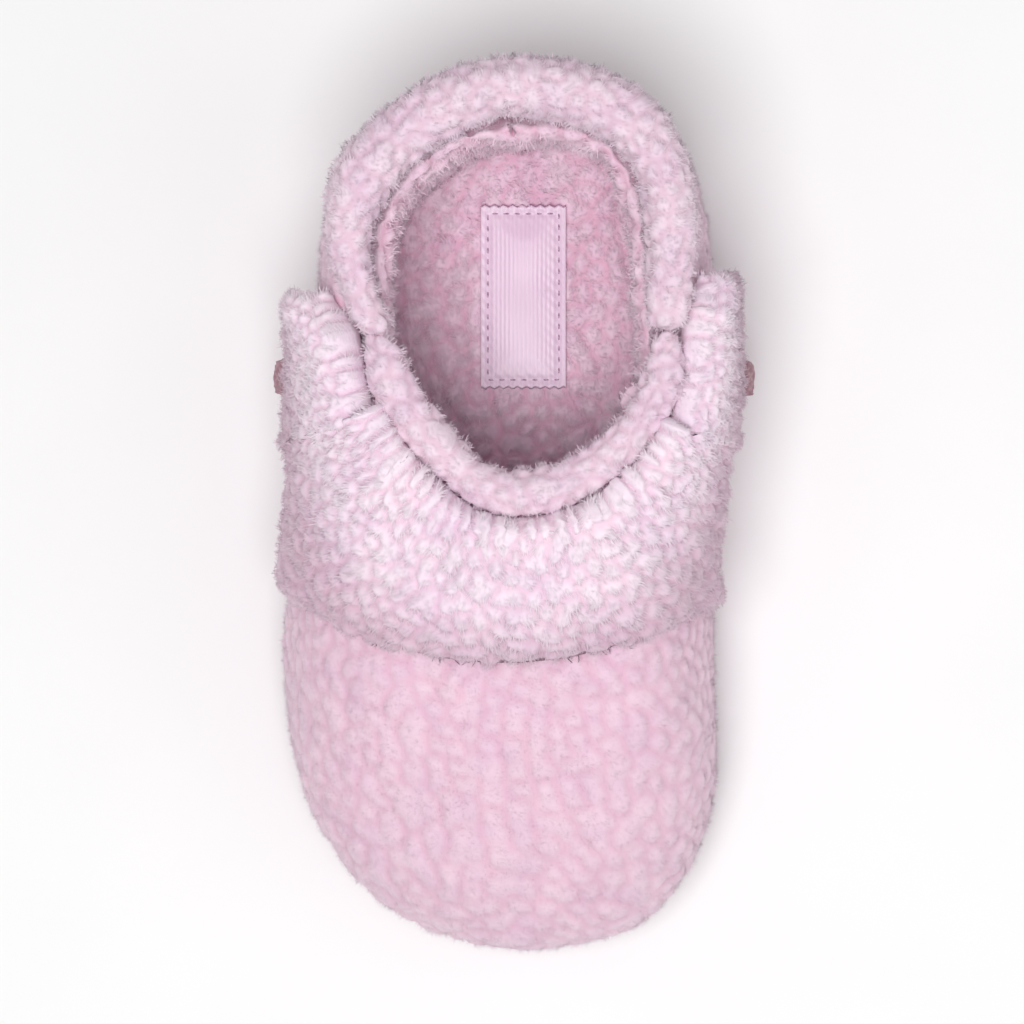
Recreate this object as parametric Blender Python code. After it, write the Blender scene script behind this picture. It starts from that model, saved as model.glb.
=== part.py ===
"""A baby's curly-fleece bootie with a fold-over cuff that opens at both sides.

The toe points along -Y, the heel along +Y, and the inner ankle is at +X. The bootie stands on z = 0.
Lengths are in millimetres until a mesh is made. Angles are in degrees round the ankle's centre:
-90 is the toe, 0 the inner side and 90 the heel. The outer side mirrors the inner one.
"""
import math

import bmesh
import bpy
import numpy as np
from mathutils import Vector

MM = 0.001

# Plan view: the widest line of the foot, and the line where the wall meets the opening's rolled rim.
OUTLINE = (
    (3.5, 60.8), (20.3, 56.0), (26.9, 41.4), (27.8, 22.0), (27.6, 0.0), (28.2, -27.0),
    (26.6, -45.8), (17.3, -57.8), (5.0, -61.3), (-12.4, -58.0), (-25.4, -46.8), (-31.6, -25.0),
    (-30.4, -8.0), (-28.0, 6.0), (-26.6, 25.0), (-25.0, 41.4), (-13.1, 56.2),
)
TOPLINE = (
    (3.5, 56.1), (16.5, 52.0), (22.3, 41.0), (23.2, 29.0), (23.0, 17.0), (19.7, 9.3), (13.6, 3.2),
    (6.0, -0.1), (-2.4, 0.2), (-8.5, 4.8), (-14.6, 12.4), (-17.8, 24.0), (-20.4, 36.0),
    (-17.5, 46.0), (-9.5, 53.2),
)
CENTRE = np.array((0.8, 22.0))

# Heights above the floor.
PAD_TOP = 1.0
SOLE_BOTTOM = 1.3
SOLE_TOP = 2.9
UPPER_BOTTOM = 3.2
FOAM_TOP = 6.2
SOCK_BOTTOM = 6.5
SOCK_TOP = 9.5
WIDEST = 14.0
TOP_FRONT = 50.0
TOP_HEEL = 52.0

# The wall's section: how far it tucks under the foot, and how much longer its curve is at the toe.
TUCK = 2.0
TOE_REACH = 1.0
TOE_FULLNESS = 0.1
NORMAL_STEP = 0.02
NORMAL_LIMIT = 0.97
NORMAL_EASE = 12.0
CURVE_POINTS = 720

# The upper's two layers, as depths below its outer skin.
OUTER_DEPTH = 4.4
LINING_TOP = 4.8
LINING_DEPTH = 9.2
SOLE_INSET = 2.2
SOCK_INSET = 10.9
FOAM_INSET = 11.6

# Seams, in degrees round the ankle.
SIDE_SEAM = -41.0
SEAM_HALF = 0.5
SEAM_RISE = 0.008
FLAP_END = -14.0
FLAP_TOP_SIDE = 46.0
FLAP_TOP_CLIMB = 3.7
FLAP_TOP_START = -25.0
THROAT_LOW = 38.5
THROAT_CLIMB = 8.0
THROAT_RUN = 56.0
TAB_START = -25.0
TAB_END = {"medial": 22.0, "lateral": 17.5}

# The rolled rims.
COLLAR_WIDTH = 9.4
COLLAR_HEIGHT = 11.6
COLLAR_END = 14.0
COLLAR_END_WIDTH = 7.0
COLLAR_END_HEIGHT = 7.4
COLLAR_END_INSET = 3.4
COLLAR_BACK = 89.5
COLLAR_LOW_CENTRE = 50.9
COLLAR_CLIMB = 2.3
COLLAR_BLEND = 2.2
COLLAR_STEPS = 16
RIM_INSET = 0.3
CAP_SHARE = 8.0
CAP_START = 0.4
LIP_WIDTH = 6.4
LIP_HEIGHT = 6.4
LIP_CENTRE = 49.4
LIP_END = 0.0
LIP_STEPS = 26

# The cuff, as heights of its skin above the wall.
CUFF_INNER = 0.6
CUFF_OUTER = 5.0
TAB_INNER = 2.2
TAB_THICK = 3.4
TAB_CLEARANCE = 0.4
TAB_HINGE_CLEARANCE = 0.2
TAB_CORNER = 3.0
TAB_CORNER_RUN = 12.0
CUFF_TOP_RISE = 0.93
CUFF_LOW_SIDE = 26.0
CUFF_EDGE_FRONT = -20.4
CUFF_EDGE_SIDE = -11.5
CUFF_HALF_WIDTH = 30.0
CORNER_SHARPNESS = 6.0
TAB_TOP = 47.5
PUSH_START = -4.0
PUSH_RUN = 17.0

# The closures, in degrees round the ankle and heights above the floor.
STRIP_GAP = 0.3
STRIP_THICK = 0.6
STRIP_CORNER = 0.25
LOOP_SPAN = (-15.0, 6.0)
LOOP_HEIGHTS = (30.6, 42.0)
HOOK_SPAN = (-13.0, 4.0)
HOOK_HEIGHTS = (33.0, 42.0)
PULL_CENTRE = -7.0
PULL_HALF = 7.0
PULL_TOP = 29.4
PULL_LENGTH = 11.0
PULL_THICK = 1.0
PULL_CORNER = 0.3
PULL_BEND = 0.48
PULL_FLARE = 4.6

# The front flap's fold line, on the outer skin at the cuff's front edge.
FLAP_HINGE = (0.0, -21.8, 44.4)

LABEL_CENTRE = (1.5, 30.3)
LABEL_SIZE = (12.0, 25.4)
LABEL_THICK = 0.5
LABEL_SQUARENESS = 0.16
LABEL_MARGIN = 1.0
STITCH_RADIUS = 0.2
SEAM_THREAD_RADIUS = 0.5
SEAM_THREAD_INSET = 1.3
PAD_SQUARENESS = 0.75
FOREFOOT_PAD = ((-0.5, -32.0), 19.0, 17.0)
HEEL_PAD = ((1.5, 36.0), 15.0, 13.0)

CUFF_PINK = (0.81, 0.65, 0.76)
TOE_PINK = (0.82, 0.58, 0.70)
LINING_PINK = (0.68, 0.44, 0.56)
SATIN_PINK = (0.88, 0.67, 0.84)
ROSE = (0.43, 0.25, 0.30)
SOLE_PINK = (0.62, 0.40, 0.47)
PAD_PINK = (0.78, 0.58, 0.66)
FOAM_WHITE = (0.85, 0.84, 0.80)
THREAD_PINK = (0.50, 0.33, 0.42)

SIDES = (("medial", 1), ("lateral", -1))


def smooth(value):
    """Ease from 0 to 1 with level ends."""
    value = min(max(value, 0.0), 1.0)
    return value * value * (3.0 - 2.0 * value)


def closed_curve(corners, count):
    """Read count points of the smooth closed cubic curve through the corners."""
    ring = np.array(corners, float)
    size = len(ring)
    chords = np.linalg.norm(np.roll(ring, -1, axis=0) - ring, axis=1)
    system = np.zeros((size, size))
    pull = np.zeros((size, 2))
    for i in range(size):
        after = (i + 1) % size
        system[i, i - 1] += chords[i - 1]
        system[i, i] += 2.0 * (chords[i - 1] + chords[i])
        system[i, after] += chords[i]
        leaving = (ring[after] - ring[i]) / chords[i]
        arriving = (ring[i] - ring[i - 1]) / chords[i - 1]
        pull[i] = 6.0 * (leaving - arriving)
    bend = np.linalg.solve(system, pull)
    stations = np.concatenate(([0.0], np.cumsum(chords)))
    points = []
    for place in np.arange(count) * stations[-1] / count:
        i = min(int(np.searchsorted(stations, place, side="right")) - 1, size - 1)
        after = (i + 1) % size
        t = (place - stations[i]) / chords[i]
        rest = 1.0 - t
        swell = ((rest**3 - rest) * bend[i] + (t**3 - t) * bend[after]) * chords[i] ** 2 / 6.0
        points.append(rest * ring[i] + t * ring[after] + swell)
    return np.array(points)


def polar(corners):
    """Angles and distances of a closed curve seen from the ankle's centre."""
    offsets = closed_curve(corners, CURVE_POINTS) - CENTRE
    angles = np.degrees(np.arctan2(offsets[:, 1], offsets[:, 0]))
    order = np.argsort(angles)
    return angles[order], np.linalg.norm(offsets, axis=1)[order]


OUTLINE_POLAR = polar(OUTLINE)
TOPLINE_POLAR = polar(TOPLINE)


def outline_radius(angle):
    return float(np.interp(angle, *OUTLINE_POLAR, period=360.0))


def topline_radius(angle):
    return float(np.interp(angle, *TOPLINE_POLAR, period=360.0))


def around(side, angle):
    """The angle of the same place on the inner (1) or outer (-1) side."""
    return angle if side > 0 else -180.0 - angle


def at(angle, radius, height):
    """A point from its angle, its distance from the ankle's centre and its height."""
    turn = math.radians(angle)
    return np.array((
        CENTRE[0] + radius * math.cos(turn),
        CENTRE[1] + radius * math.sin(turn),
        height,
    ))


def top_height(angle):
    heelward = (1.0 + math.sin(math.radians(angle))) / 2.0
    return TOP_FRONT + (TOP_HEEL - TOP_FRONT) * heelward


def toe_share(angle):
    """1 over the toe, 0 at the sides and heel."""
    return max(0.0, -math.sin(math.radians(angle))) ** 2


def skin(angle, rise):
    """The upper's outer skin. Rise runs from -1 under the foot through 0 at its widest to 1 at the rim."""
    outer = outline_radius(angle)
    if rise < 0.0:
        turn = -rise * math.pi / 2.0
        inward = TUCK * (1.0 - math.cos(turn))
        return at(angle, outer - inward, WIDEST - (WIDEST - UPPER_BOTTOM) * math.sin(turn))
    turn = rise * math.pi / 2.0
    toe = toe_share(angle)
    inner = topline_radius(angle)
    radius = inner + (outer - inner) * max(math.cos(turn), 0.0) ** (1.0 + TOE_REACH * toe)
    height = (top_height(angle) - WIDEST) * math.sin(turn) ** (1.0 - TOE_FULLNESS * toe)
    return at(angle, radius, WIDEST + height)


def skin_normal(angle, rise):
    """The skin's outward direction, level below the widest line."""
    level = min(max(rise, 0.0), NORMAL_LIMIT)
    along = skin(angle + 1.0, level) - skin(angle - 1.0, level)
    up = skin(angle, level + NORMAL_STEP) - skin(angle, level - NORMAL_STEP)
    normal = np.cross(along, up)
    normal /= np.linalg.norm(normal)
    height = skin(angle, rise)[2]
    normal[2] *= smooth((height - WIDEST) / NORMAL_EASE)
    return normal / np.linalg.norm(normal)


def rise_at(angle, height):
    """The rise at which the skin reaches a height above its widest line."""
    share = (height - WIDEST) / (top_height(angle) - WIDEST)
    share = min(max(share, 0.0), 1.0) ** (1.0 / (1.0 - TOE_FULLNESS * toe_share(angle)))
    return math.asin(share) * 2.0 / math.pi


def inner_angle(angle):
    """The angle folded to the inner side, from -90 at the toe to 90 at the heel."""
    return math.degrees(math.asin(math.sin(math.radians(angle))))


def cuff_low(angle):
    """Rise of the wall under the cuff's lower edge: an arc in plan, and level at the sides."""
    low = 0.0
    high = 0.99
    for _ in range(24):
        middle = (low + high) / 2.0
        x, y, _z = skin(angle, middle)
        arc = (CUFF_EDGE_SIDE - CUFF_EDGE_FRONT) * (x / CUFF_HALF_WIDTH) ** 2
        if y < CUFF_EDGE_FRONT + arc:
            low = middle
        else:
            high = middle
    level = rise_at(angle, CUFF_LOW_SIDE)
    return (low**CORNER_SHARPNESS + level**CORNER_SHARPNESS) ** (1.0 / CORNER_SHARPNESS)


def throat_seam(angle):
    """Rise of the seam round the flap: under the cuff's front edge, then up to the ankle."""
    climb = smooth((inner_angle(angle) - SIDE_SEAM) / THROAT_RUN)
    side = rise_at(angle, THROAT_LOW + THROAT_CLIMB * climb)
    if inner_angle(angle) > SIDE_SEAM:
        return side
    front = cuff_low(angle)
    return (side**CORNER_SHARPNESS + front**CORNER_SHARPNESS) ** (1.0 / CORNER_SHARPNESS)


def flap_top(angle):
    """Height of the instep panel's upper edge, just under the lip."""
    front = (FLAP_TOP_START - inner_angle(angle)) / (90.0 + FLAP_TOP_START)
    return FLAP_TOP_SIDE + FLAP_TOP_CLIMB * smooth(front)


def material(name, colour, roughness):
    made = bpy.data.materials.new(name)
    made.use_nodes = True
    shader = made.node_tree.nodes["Principled BSDF"]
    shader.inputs["Base Color"].default_value = (*colour, 1.0)
    shader.inputs["Roughness"].default_value = roughness
    shader.inputs["Metallic"].default_value = 0.0
    return made


def axis_empty(name, place, parent=None):
    """An empty on a joint's axis, at a place in millimetres."""
    empty = bpy.data.objects.new(name, None)
    bpy.context.collection.objects.link(empty)
    empty.parent = parent
    empty.location = Vector(place) * MM - world_origin(parent)
    return empty


def world_origin(parent):
    """An empty's origin in the world, for parents that only move."""
    total = Vector((0.0, 0.0, 0.0))
    while parent is not None:
        total = total + parent.location
        parent = parent.parent
    return total


def slab(name, faces, look, parent=None):
    """Close two grids of points, an outer and an inner one, into one plate."""
    made = bmesh.new()
    grids = []
    for grid in faces:
        grids.append([[made.verts.new(point) for point in row] for row in grid])
    outer, inner = grids
    columns = len(outer)
    rows = len(outer[0])
    for i in range(columns - 1):
        for j in range(rows - 1):
            made.faces.new((outer[i][j], outer[i + 1][j], outer[i + 1][j + 1], outer[i][j + 1]))
            made.faces.new((inner[i][j], inner[i][j + 1], inner[i + 1][j + 1], inner[i + 1][j]))
        for j in (0, rows - 1):
            made.faces.new((outer[i][j], inner[i][j], inner[i + 1][j], outer[i + 1][j]))
    for j in range(rows - 1):
        for i in (0, columns - 1):
            made.faces.new((outer[i][j], outer[i][j + 1], inner[i][j + 1], inner[i][j]))
    return place_mesh(name, made, look, parent)


def place_mesh(name, mesh_data, look, parent):
    """Scale a millimetre bmesh and hang it on its parent without moving it in the world."""
    bmesh.ops.scale(mesh_data, vec=(MM, MM, MM), verts=mesh_data.verts)
    bmesh.ops.translate(mesh_data, vec=-world_origin(parent), verts=mesh_data.verts)
    bmesh.ops.recalc_face_normals(mesh_data, faces=mesh_data.faces)
    mesh = bpy.data.meshes.new(name)
    mesh_data.to_mesh(mesh)
    mesh_data.free()
    mesh.materials.append(look)
    mesh.shade_smooth()
    mesh.set_sharp_from_angle(angle=math.radians(40.0))
    made = bpy.data.objects.new(name, mesh)
    bpy.context.collection.objects.link(made)
    made.parent = parent
    return made


def loft(name, rings, look, parent=None, closed=False):
    """Skin a row of rings with the same number of points. An open row gets flat ends."""
    made = bmesh.new()
    loops = [[made.verts.new(point) for point in ring] for ring in rings]
    size = len(loops[0])
    pairs = list(zip(loops, loops[1:]))
    if closed:
        pairs.append((loops[-1], loops[0]))
    for low, high in pairs:
        for i in range(size):
            after = (i + 1) % size
            made.faces.new((low[i], low[after], high[after], high[i]))
    if not closed:
        made.faces.new(loops[0])
        made.faces.new(loops[-1])
    return place_mesh(name, made, look, parent)


def layer(name, span, low, high, depths, look, parent=None, columns=20, rows=9):
    """A sewn layer: a patch of the upper between two depths and two heights of rise."""
    grids = []
    for depth in depths:
        grid = []
        for angle in np.linspace(span[0], span[1], columns):
            rises = np.linspace(low(angle), high(angle), rows)
            grid.append([skin(angle, rise) - depth * skin_normal(angle, rise) for rise in rises])
        grids.append(grid)
    return slab(name, grids, look, parent)


def inset_outline(distance, count):
    """The widest line drawn inwards by a distance, as plan points."""
    ring = closed_curve(OUTLINE, count)
    run = np.roll(ring, -1, axis=0) - np.roll(ring, 1, axis=0)
    run /= np.linalg.norm(run, axis=1)[:, None]
    inward = np.stack((run[:, 1], -run[:, 0]), axis=1)
    return ring + distance * inward


def plate(name, outline, bottom, top, look, edge=0.4):
    """A flat piece with softened edges, from plan points that may differ by inset."""
    levels = ((bottom, edge), (bottom + edge, 0.0), (top - edge, 0.0), (top, edge))
    rings = []
    for height, inset in levels:
        rings.append([(x, y, height) for x, y in outline(inset)])
    return loft(name, rings, look)


def pad_outline(centre, half_width, half_length, squareness, count=32):
    """A rounded pad in plan: an ellipse drawn towards its box."""
    def ring(inset):
        points = []
        for step in range(count):
            turn = 2.0 * math.pi * step / count
            across = math.copysign(abs(math.cos(turn)) ** squareness, math.cos(turn))
            along = math.copysign(abs(math.sin(turn)) ** squareness, math.sin(turn))
            points.append((
                centre[0] + (half_width - inset) * across,
                centre[1] + (half_length - inset) * along,
            ))
        return points
    return ring


def roll(name, stations, look, parent=None, sides=14):
    """A rolled rim through stations of angle, radius, height, width and thickness."""
    rings = []
    for angle, radius, height, width, thickness in stations:
        ring = []
        for step in range(sides):
            turn = 2.0 * math.pi * step / sides
            ring.append(at(
                angle,
                radius + 0.5 * width * math.cos(turn),
                height + 0.5 * thickness * math.sin(turn),
            ))
        rings.append(ring)
    return loft(name, rings, look, parent)


def thread(name, centres, radius, look, sides=6):
    """A closed loop of thread through plan points at one height."""
    rings = []
    count = len(centres)
    for i in range(count):
        run = np.array(centres[(i + 1) % count]) - np.array(centres[i - 1])
        run[2] = 0.0
        run /= np.linalg.norm(run)
        across = np.array((run[1], -run[0], 0.0))
        up = np.array((0.0, 0.0, 1.0))
        ring = []
        for step in range(sides):
            turn = 2.0 * math.pi * step / sides
            ring.append(centres[i] + radius * (math.cos(turn) * across + math.sin(turn) * up))
        rings.append(ring)
    return loft(name, rings, look, closed=True)


def build_sole(looks):
    plate("outsole", lambda inset: inset_outline(SOLE_INSET + inset, 72), SOLE_BOTTOM, SOLE_TOP,
          looks["sole"])
    plate("midsole_foam", lambda inset: inset_outline(FOAM_INSET + inset, 60), UPPER_BOTTOM,
          FOAM_TOP, looks["foam"])
    plate("insole_sock", lambda inset: inset_outline(SOCK_INSET + inset, 60), SOCK_BOTTOM,
          SOCK_TOP, looks["lining"], edge=0.8)
    for name, pad in (("forefoot", FOREFOOT_PAD), ("heel", HEEL_PAD)):
        plate("grip_pad_" + name, pad_outline(*pad, PAD_SQUARENESS), 0.0, PAD_TOP, looks["pad"],
              edge=0.3)
    height = SOLE_TOP - 2.0 * SEAM_THREAD_RADIUS + 0.3
    seam = [np.array((x, y, height)) for x, y in inset_outline(SEAM_THREAD_INSET, 90)]
    thread("sole_seam_thread", seam, SEAM_THREAD_RADIUS, looks["thread"])


def build_label(looks):
    bottom = SOCK_TOP + STRIP_GAP
    top = bottom + LABEL_THICK
    half_width = LABEL_SIZE[0] / 2.0
    half_length = LABEL_SIZE[1] / 2.0
    outline = pad_outline(LABEL_CENTRE, half_width, half_length, LABEL_SQUARENESS, count=40)
    plate("sock_label", outline, bottom, top, looks["satin"], edge=0.12)
    height = top + STRIP_GAP + STITCH_RADIUS
    seam = [np.array((x, y, height)) for x, y in outline(LABEL_MARGIN)]
    thread("label_stitching", seam, STITCH_RADIUS, looks["thread"])


def build_upper(looks):
    def bottom(_angle):
        return -1.0

    def seam(angle):
        return throat_seam(angle) - SEAM_RISE

    toe = (-180.0 - SIDE_SEAM + SEAM_HALF, SIDE_SEAM - SEAM_HALF)
    layer("vamp_outer", toe, bottom, seam, (0.0, OUTER_DEPTH), looks["toe"], columns=26, rows=14)
    layer("vamp_lining", toe, bottom, seam, (LINING_TOP, LINING_DEPTH), looks["lining"],
          columns=26, rows=14)
    for side_name, side in SIDES:
        span = (around(side, SIDE_SEAM + SEAM_HALF), around(side, 90.0 - SEAM_HALF))
        layer("quarter_outer_" + side_name, span, bottom, seam, (0.0, OUTER_DEPTH), looks["toe"])
        layer("quarter_lining_" + side_name, span, bottom, seam, (LINING_TOP, LINING_DEPTH),
              looks["lining"])


def build_collar(looks):
    for side_name, side in SIDES:
        stations = []
        for step in range(COLLAR_STEPS + 1):
            share = step / COLLAR_STEPS
            angle = around(side, COLLAR_END + (COLLAR_BACK - COLLAR_END) * share)
            blend = smooth(share * COLLAR_BLEND)
            cap = math.sqrt(min(1.0, CAP_START + share * CAP_SHARE))
            width = COLLAR_END_WIDTH + (COLLAR_WIDTH - COLLAR_END_WIDTH) * blend
            height = COLLAR_END_HEIGHT + (COLLAR_HEIGHT - COLLAR_END_HEIGHT) * blend
            heel_radius = outline_radius(angle) - RIM_INSET - COLLAR_WIDTH / 2.0
            end_radius = topline_radius(angle) - COLLAR_END_INSET
            radius = end_radius + (heel_radius - end_radius) * blend
            centre = COLLAR_LOW_CENTRE + COLLAR_CLIMB * blend
            stations.append((angle, radius, centre, width * cap, height * cap))
        roll("heel_collar_" + side_name, stations, looks["cuff"])


def build_flap(looks, flap):
    def seam(angle):
        return throat_seam(angle) + SEAM_RISE

    def panel_top(angle):
        return rise_at(angle, flap_top(angle))

    span = (-180.0 - FLAP_END, FLAP_END)
    layer("instep_panel", span, seam, panel_top, (0.0, OUTER_DEPTH), looks["toe"], flap,
          columns=26, rows=6)
    layer("instep_lining", span, seam, panel_top, (LINING_TOP, LINING_DEPTH), looks["lining"],
          flap, columns=26, rows=6)
    stations = []
    for step in range(LIP_STEPS + 1):
        share = step / LIP_STEPS
        angle = -180.0 - LIP_END + (180.0 + 2.0 * LIP_END) * share
        cap = math.sqrt(min(1.0, CAP_START + CAP_SHARE * min(share, 1.0 - share)))
        radius = topline_radius(angle) - RIM_INSET - LIP_WIDTH / 2.0
        stations.append((angle, radius, LIP_CENTRE, LIP_WIDTH * cap, LIP_HEIGHT * cap))
    roll("throat_lip", stations, looks["cuff"], flap, sides=12)

    def cuff_top(_angle):
        return CUFF_TOP_RISE

    span = (-180.0 - TAB_START + SEAM_HALF, TAB_START - SEAM_HALF)
    layer("cuff_front", span, cuff_low, cuff_top, (-CUFF_OUTER, -CUFF_INNER), looks["cuff"],
          flap, columns=30, rows=9)


def tab_point(angle, rise, inward):
    """A point of a tab at a depth below its outer face, pushed clear of the heel collar."""
    normal = skin_normal(angle, rise)
    inner = skin(angle, rise) + TAB_INNER * normal
    offset = inner[:2] - CENTRE
    reach = np.linalg.norm(offset)
    clear = outline_radius(angle) + TAB_CLEARANCE
    push = max(0.0, clear - reach) * smooth((inner_angle(angle) - PUSH_START) / PUSH_RUN)
    inner[:2] += push * offset / reach
    return inner + (TAB_THICK - inward) * normal


def build_tab(looks, flap, side_name, side):
    def place(angle):
        return around(side, angle)

    columns = np.linspace(TAB_START + SEAM_HALF, TAB_END[side_name], 14)
    grids = []
    for inward in (0.0, TAB_THICK):
        grid = []
        for step in columns:
            angle = place(step)
            end_round = TAB_CORNER * smooth(1.0 + (step - TAB_END[side_name]) / TAB_CORNER_RUN)
            low = rise_at(angle, CUFF_LOW_SIDE + end_round)
            high = rise_at(angle, TAB_TOP - end_round)
            grid.append([tab_point(angle, rise, inward) for rise in np.linspace(low, high, 8)])
        grids.append(grid)
    edge = np.array(grids[0][0])
    lean = edge[-1] - edge[0]
    lean /= np.linalg.norm(lean)
    turn = math.radians(place(TAB_START))
    outward = np.array((math.cos(turn), math.sin(turn), 0.0))
    outward -= outward.dot(lean) * lean
    outward /= np.linalg.norm(outward)
    bulge = max((point - edge[0]).dot(outward) for point in edge)
    origin = (edge[0] + edge[-1]) / 2.0 + (bulge + TAB_HINGE_CLEARANCE) * outward
    hinge = axis_empty(side_name + "_tab_axis", origin, flap)
    slab("tab_" + side_name, grids, looks["cuff"], hinge)
    return hinge


def patch(name, span, heights, base, look, parent=None):
    """A small sewn strip between two angles and two heights, with eased corners."""
    middle = ((span[0] + span[1]) / 2.0, (heights[0] + heights[1]) / 2.0)
    half = ((span[1] - span[0]) / 2.0, (heights[1] - heights[0]) / 2.0)
    grids = []
    for depth in (STRIP_GAP + STRIP_THICK, STRIP_GAP):
        grid = []
        for across in np.linspace(-1.0, 1.0, 7):
            angle = middle[0] + across * half[0]
            ease = 1.0 - STRIP_CORNER * across**4
            row = []
            for along in np.linspace(-1.0, 1.0, 5):
                row.append(base(angle, rise_at(angle, middle[1] + ease * along * half[1]), depth))
            grid.append(row)
        grids.append(grid)
    return slab(name, grids, look, parent)


def on_wall(angle, rise, depth):
    """A point of the wall's face, at a height above it."""
    return skin(angle, rise) + depth * skin_normal(angle, rise)


def under_tab(angle, rise, depth):
    """A point under a tab's inner face, at a depth from it."""
    return tab_point(angle, rise, TAB_THICK + depth)


def build_closure(looks, side_name, side, hinge):
    loop_span = [around(side, place) for place in LOOP_SPAN]
    patch("loop_patch_" + side_name, loop_span, LOOP_HEIGHTS, on_wall, looks["loop"])
    hook_span = [around(side, place) for place in HOOK_SPAN]
    patch("hook_patch_" + side_name, hook_span, HOOK_HEIGHTS, under_tab, looks["hook"], hinge)


def build_pull_tab(looks, side_name, side, hinge):
    """A webbing end that hangs from under the tab and turns outwards below it."""
    grids = []
    for depth in (0.0, PULL_THICK):
        grid = []
        for across in np.linspace(-1.0, 1.0, 7):
            angle = around(side, PULL_CENTRE + across * PULL_HALF)
            ease = 1.0 - PULL_CORNER * across**4
            column = []
            for share in np.linspace(0.0, ease, 7):
                rise = rise_at(angle, PULL_TOP - PULL_LENGTH * share)
                flare = PULL_FLARE * smooth((share - PULL_BEND) / (1.0 - PULL_BEND))
                base = under_tab(angle, rise, STRIP_GAP + depth)
                column.append(base + flare * skin_normal(angle, rise))
            grid.append(column)
        grids.append(grid)
    slab("pull_tab_" + side_name, grids, looks["rose"], hinge)


def main():
    for item in list(bpy.data.objects):
        bpy.data.objects.remove(item, do_unlink=True)
    looks = {
        "cuff": material("long_pile_fleece", CUFF_PINK, 0.95),
        "toe": material("pebbled_fleece", TOE_PINK, 0.95),
        "lining": material("lining_fleece", LINING_PINK, 0.95),
        "satin": material("satin_label", SATIN_PINK, 0.45),
        "rose": material("rose_webbing", ROSE, 0.8),
        "sole": material("sole_fabric", SOLE_PINK, 0.85),
        "pad": material("grip_silicone", PAD_PINK, 0.5),
        "foam": material("foam", FOAM_WHITE, 0.9),
        "thread": material("thread", THREAD_PINK, 0.7),
        "hook": material("hook_strip", ROSE, 0.6),
        "loop": material("loop_strip", ROSE, 0.9),
    }
    build_sole(looks)
    build_label(looks)
    build_upper(looks)
    build_collar(looks)
    flap = axis_empty("front_flap_axis", FLAP_HINGE)
    build_flap(looks, flap)
    for side_name, side in SIDES:
        hinge = build_tab(looks, flap, side_name, side)
        build_closure(looks, side_name, side, hinge)
        build_pull_tab(looks, side_name, side, hinge)


main()
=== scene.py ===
import math
from itertools import product

import bpy
import numpy as np
from mathutils import Matrix, Vector, noise
from mathutils.kdtree import KDTree


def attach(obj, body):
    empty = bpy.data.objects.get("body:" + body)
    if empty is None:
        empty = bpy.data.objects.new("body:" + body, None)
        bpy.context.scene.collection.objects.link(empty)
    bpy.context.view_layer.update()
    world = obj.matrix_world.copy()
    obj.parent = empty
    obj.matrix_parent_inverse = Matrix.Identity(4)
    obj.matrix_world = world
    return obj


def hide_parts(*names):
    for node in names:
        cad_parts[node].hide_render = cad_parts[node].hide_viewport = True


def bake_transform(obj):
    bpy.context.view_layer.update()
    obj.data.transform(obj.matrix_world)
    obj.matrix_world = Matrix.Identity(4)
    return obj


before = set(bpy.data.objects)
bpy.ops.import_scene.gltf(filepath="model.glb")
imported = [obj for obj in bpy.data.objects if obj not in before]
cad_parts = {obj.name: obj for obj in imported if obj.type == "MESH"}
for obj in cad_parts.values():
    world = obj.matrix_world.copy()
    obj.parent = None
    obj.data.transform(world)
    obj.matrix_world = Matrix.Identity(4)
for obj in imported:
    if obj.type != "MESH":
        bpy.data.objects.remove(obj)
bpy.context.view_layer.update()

MM = 0.001

# ---------------------------------------------------------------------------
# The bootie's own surfaces, as the frame has them
# ---------------------------------------------------------------------------
# Plan corners of the widest line, from the heel round the inner side, and of the ankle's rim.
OUTLINE = (
    (3.5, 60.8), (20.3, 56.0), (26.9, 41.4), (27.8, 22.0), (27.6, 0.0), (28.2, -27.0),
    (26.6, -45.8), (17.3, -57.8), (5.0, -61.3), (-12.4, -58.0), (-25.4, -46.8), (-31.6, -25.0),
    (-30.4, -8.0), (-28.0, 6.0), (-26.6, 25.0), (-25.0, 41.4), (-13.1, 56.2),
)
TOPLINE = (
    (3.5, 56.1), (16.5, 52.0), (22.3, 41.0), (23.2, 29.0), (23.0, 17.0), (19.7, 9.3), (13.6, 3.2),
    (6.0, -0.1), (-2.4, 0.2), (-8.5, 4.8), (-14.6, 12.4), (-17.8, 24.0), (-20.4, 36.0),
    (-17.5, 46.0), (-9.5, 53.2),
)
# The ankle's centre in plan.
CENTRE = np.array((0.8, 22.0))
# Heights of the upper's lower edge, of its widest line and of its rim, and how far it tucks in below.
UPPER_BOTTOM = 3.2
WIDEST = 14.0
TOP_FRONT = 50.0
TOP_HEEL = 52.0
TUCK = 2.0
# How much fuller than an ellipse the toe is, across and upwards.
TOE_REACH = 1.0
TOE_FULLNESS = 0.1
# Steps and limits for reading the skin's direction.
NORMAL_STEP = 0.02
NORMAL_LIMIT = 0.97
NORMAL_EASE = 12.0
CURVE_POINTS = 720

# Depths of the layers below the skin, the angles of the seams, and shares of a panel that are rounded.
OUTER_DEPTH = 4.4
LINING_TOP = 4.8
LINING_DEPTH = 9.2
SIDE_SEAM = -41.0
SEAM_HALF = 0.08
SEAM_ROUND = (0.012, 0.012)
PANEL_ROUND = (0.05, 0.05)
SEAM_RISE = 0.008
WALL_REACH = 0.05
WALL_RUN = 12.0
FLAP_END = -14.0
FLAP_TOP_SIDE = 46.0
FLAP_TOP_CLIMB = 3.7
FLAP_TOP_START = -25.0
THROAT_LOW = 38.5
THROAT_CLIMB = 8.0
THROAT_RUN = 56.0
TAB_START = -25.0
TAB_END = {"medial": 22.0, "lateral": 17.5}

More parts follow.
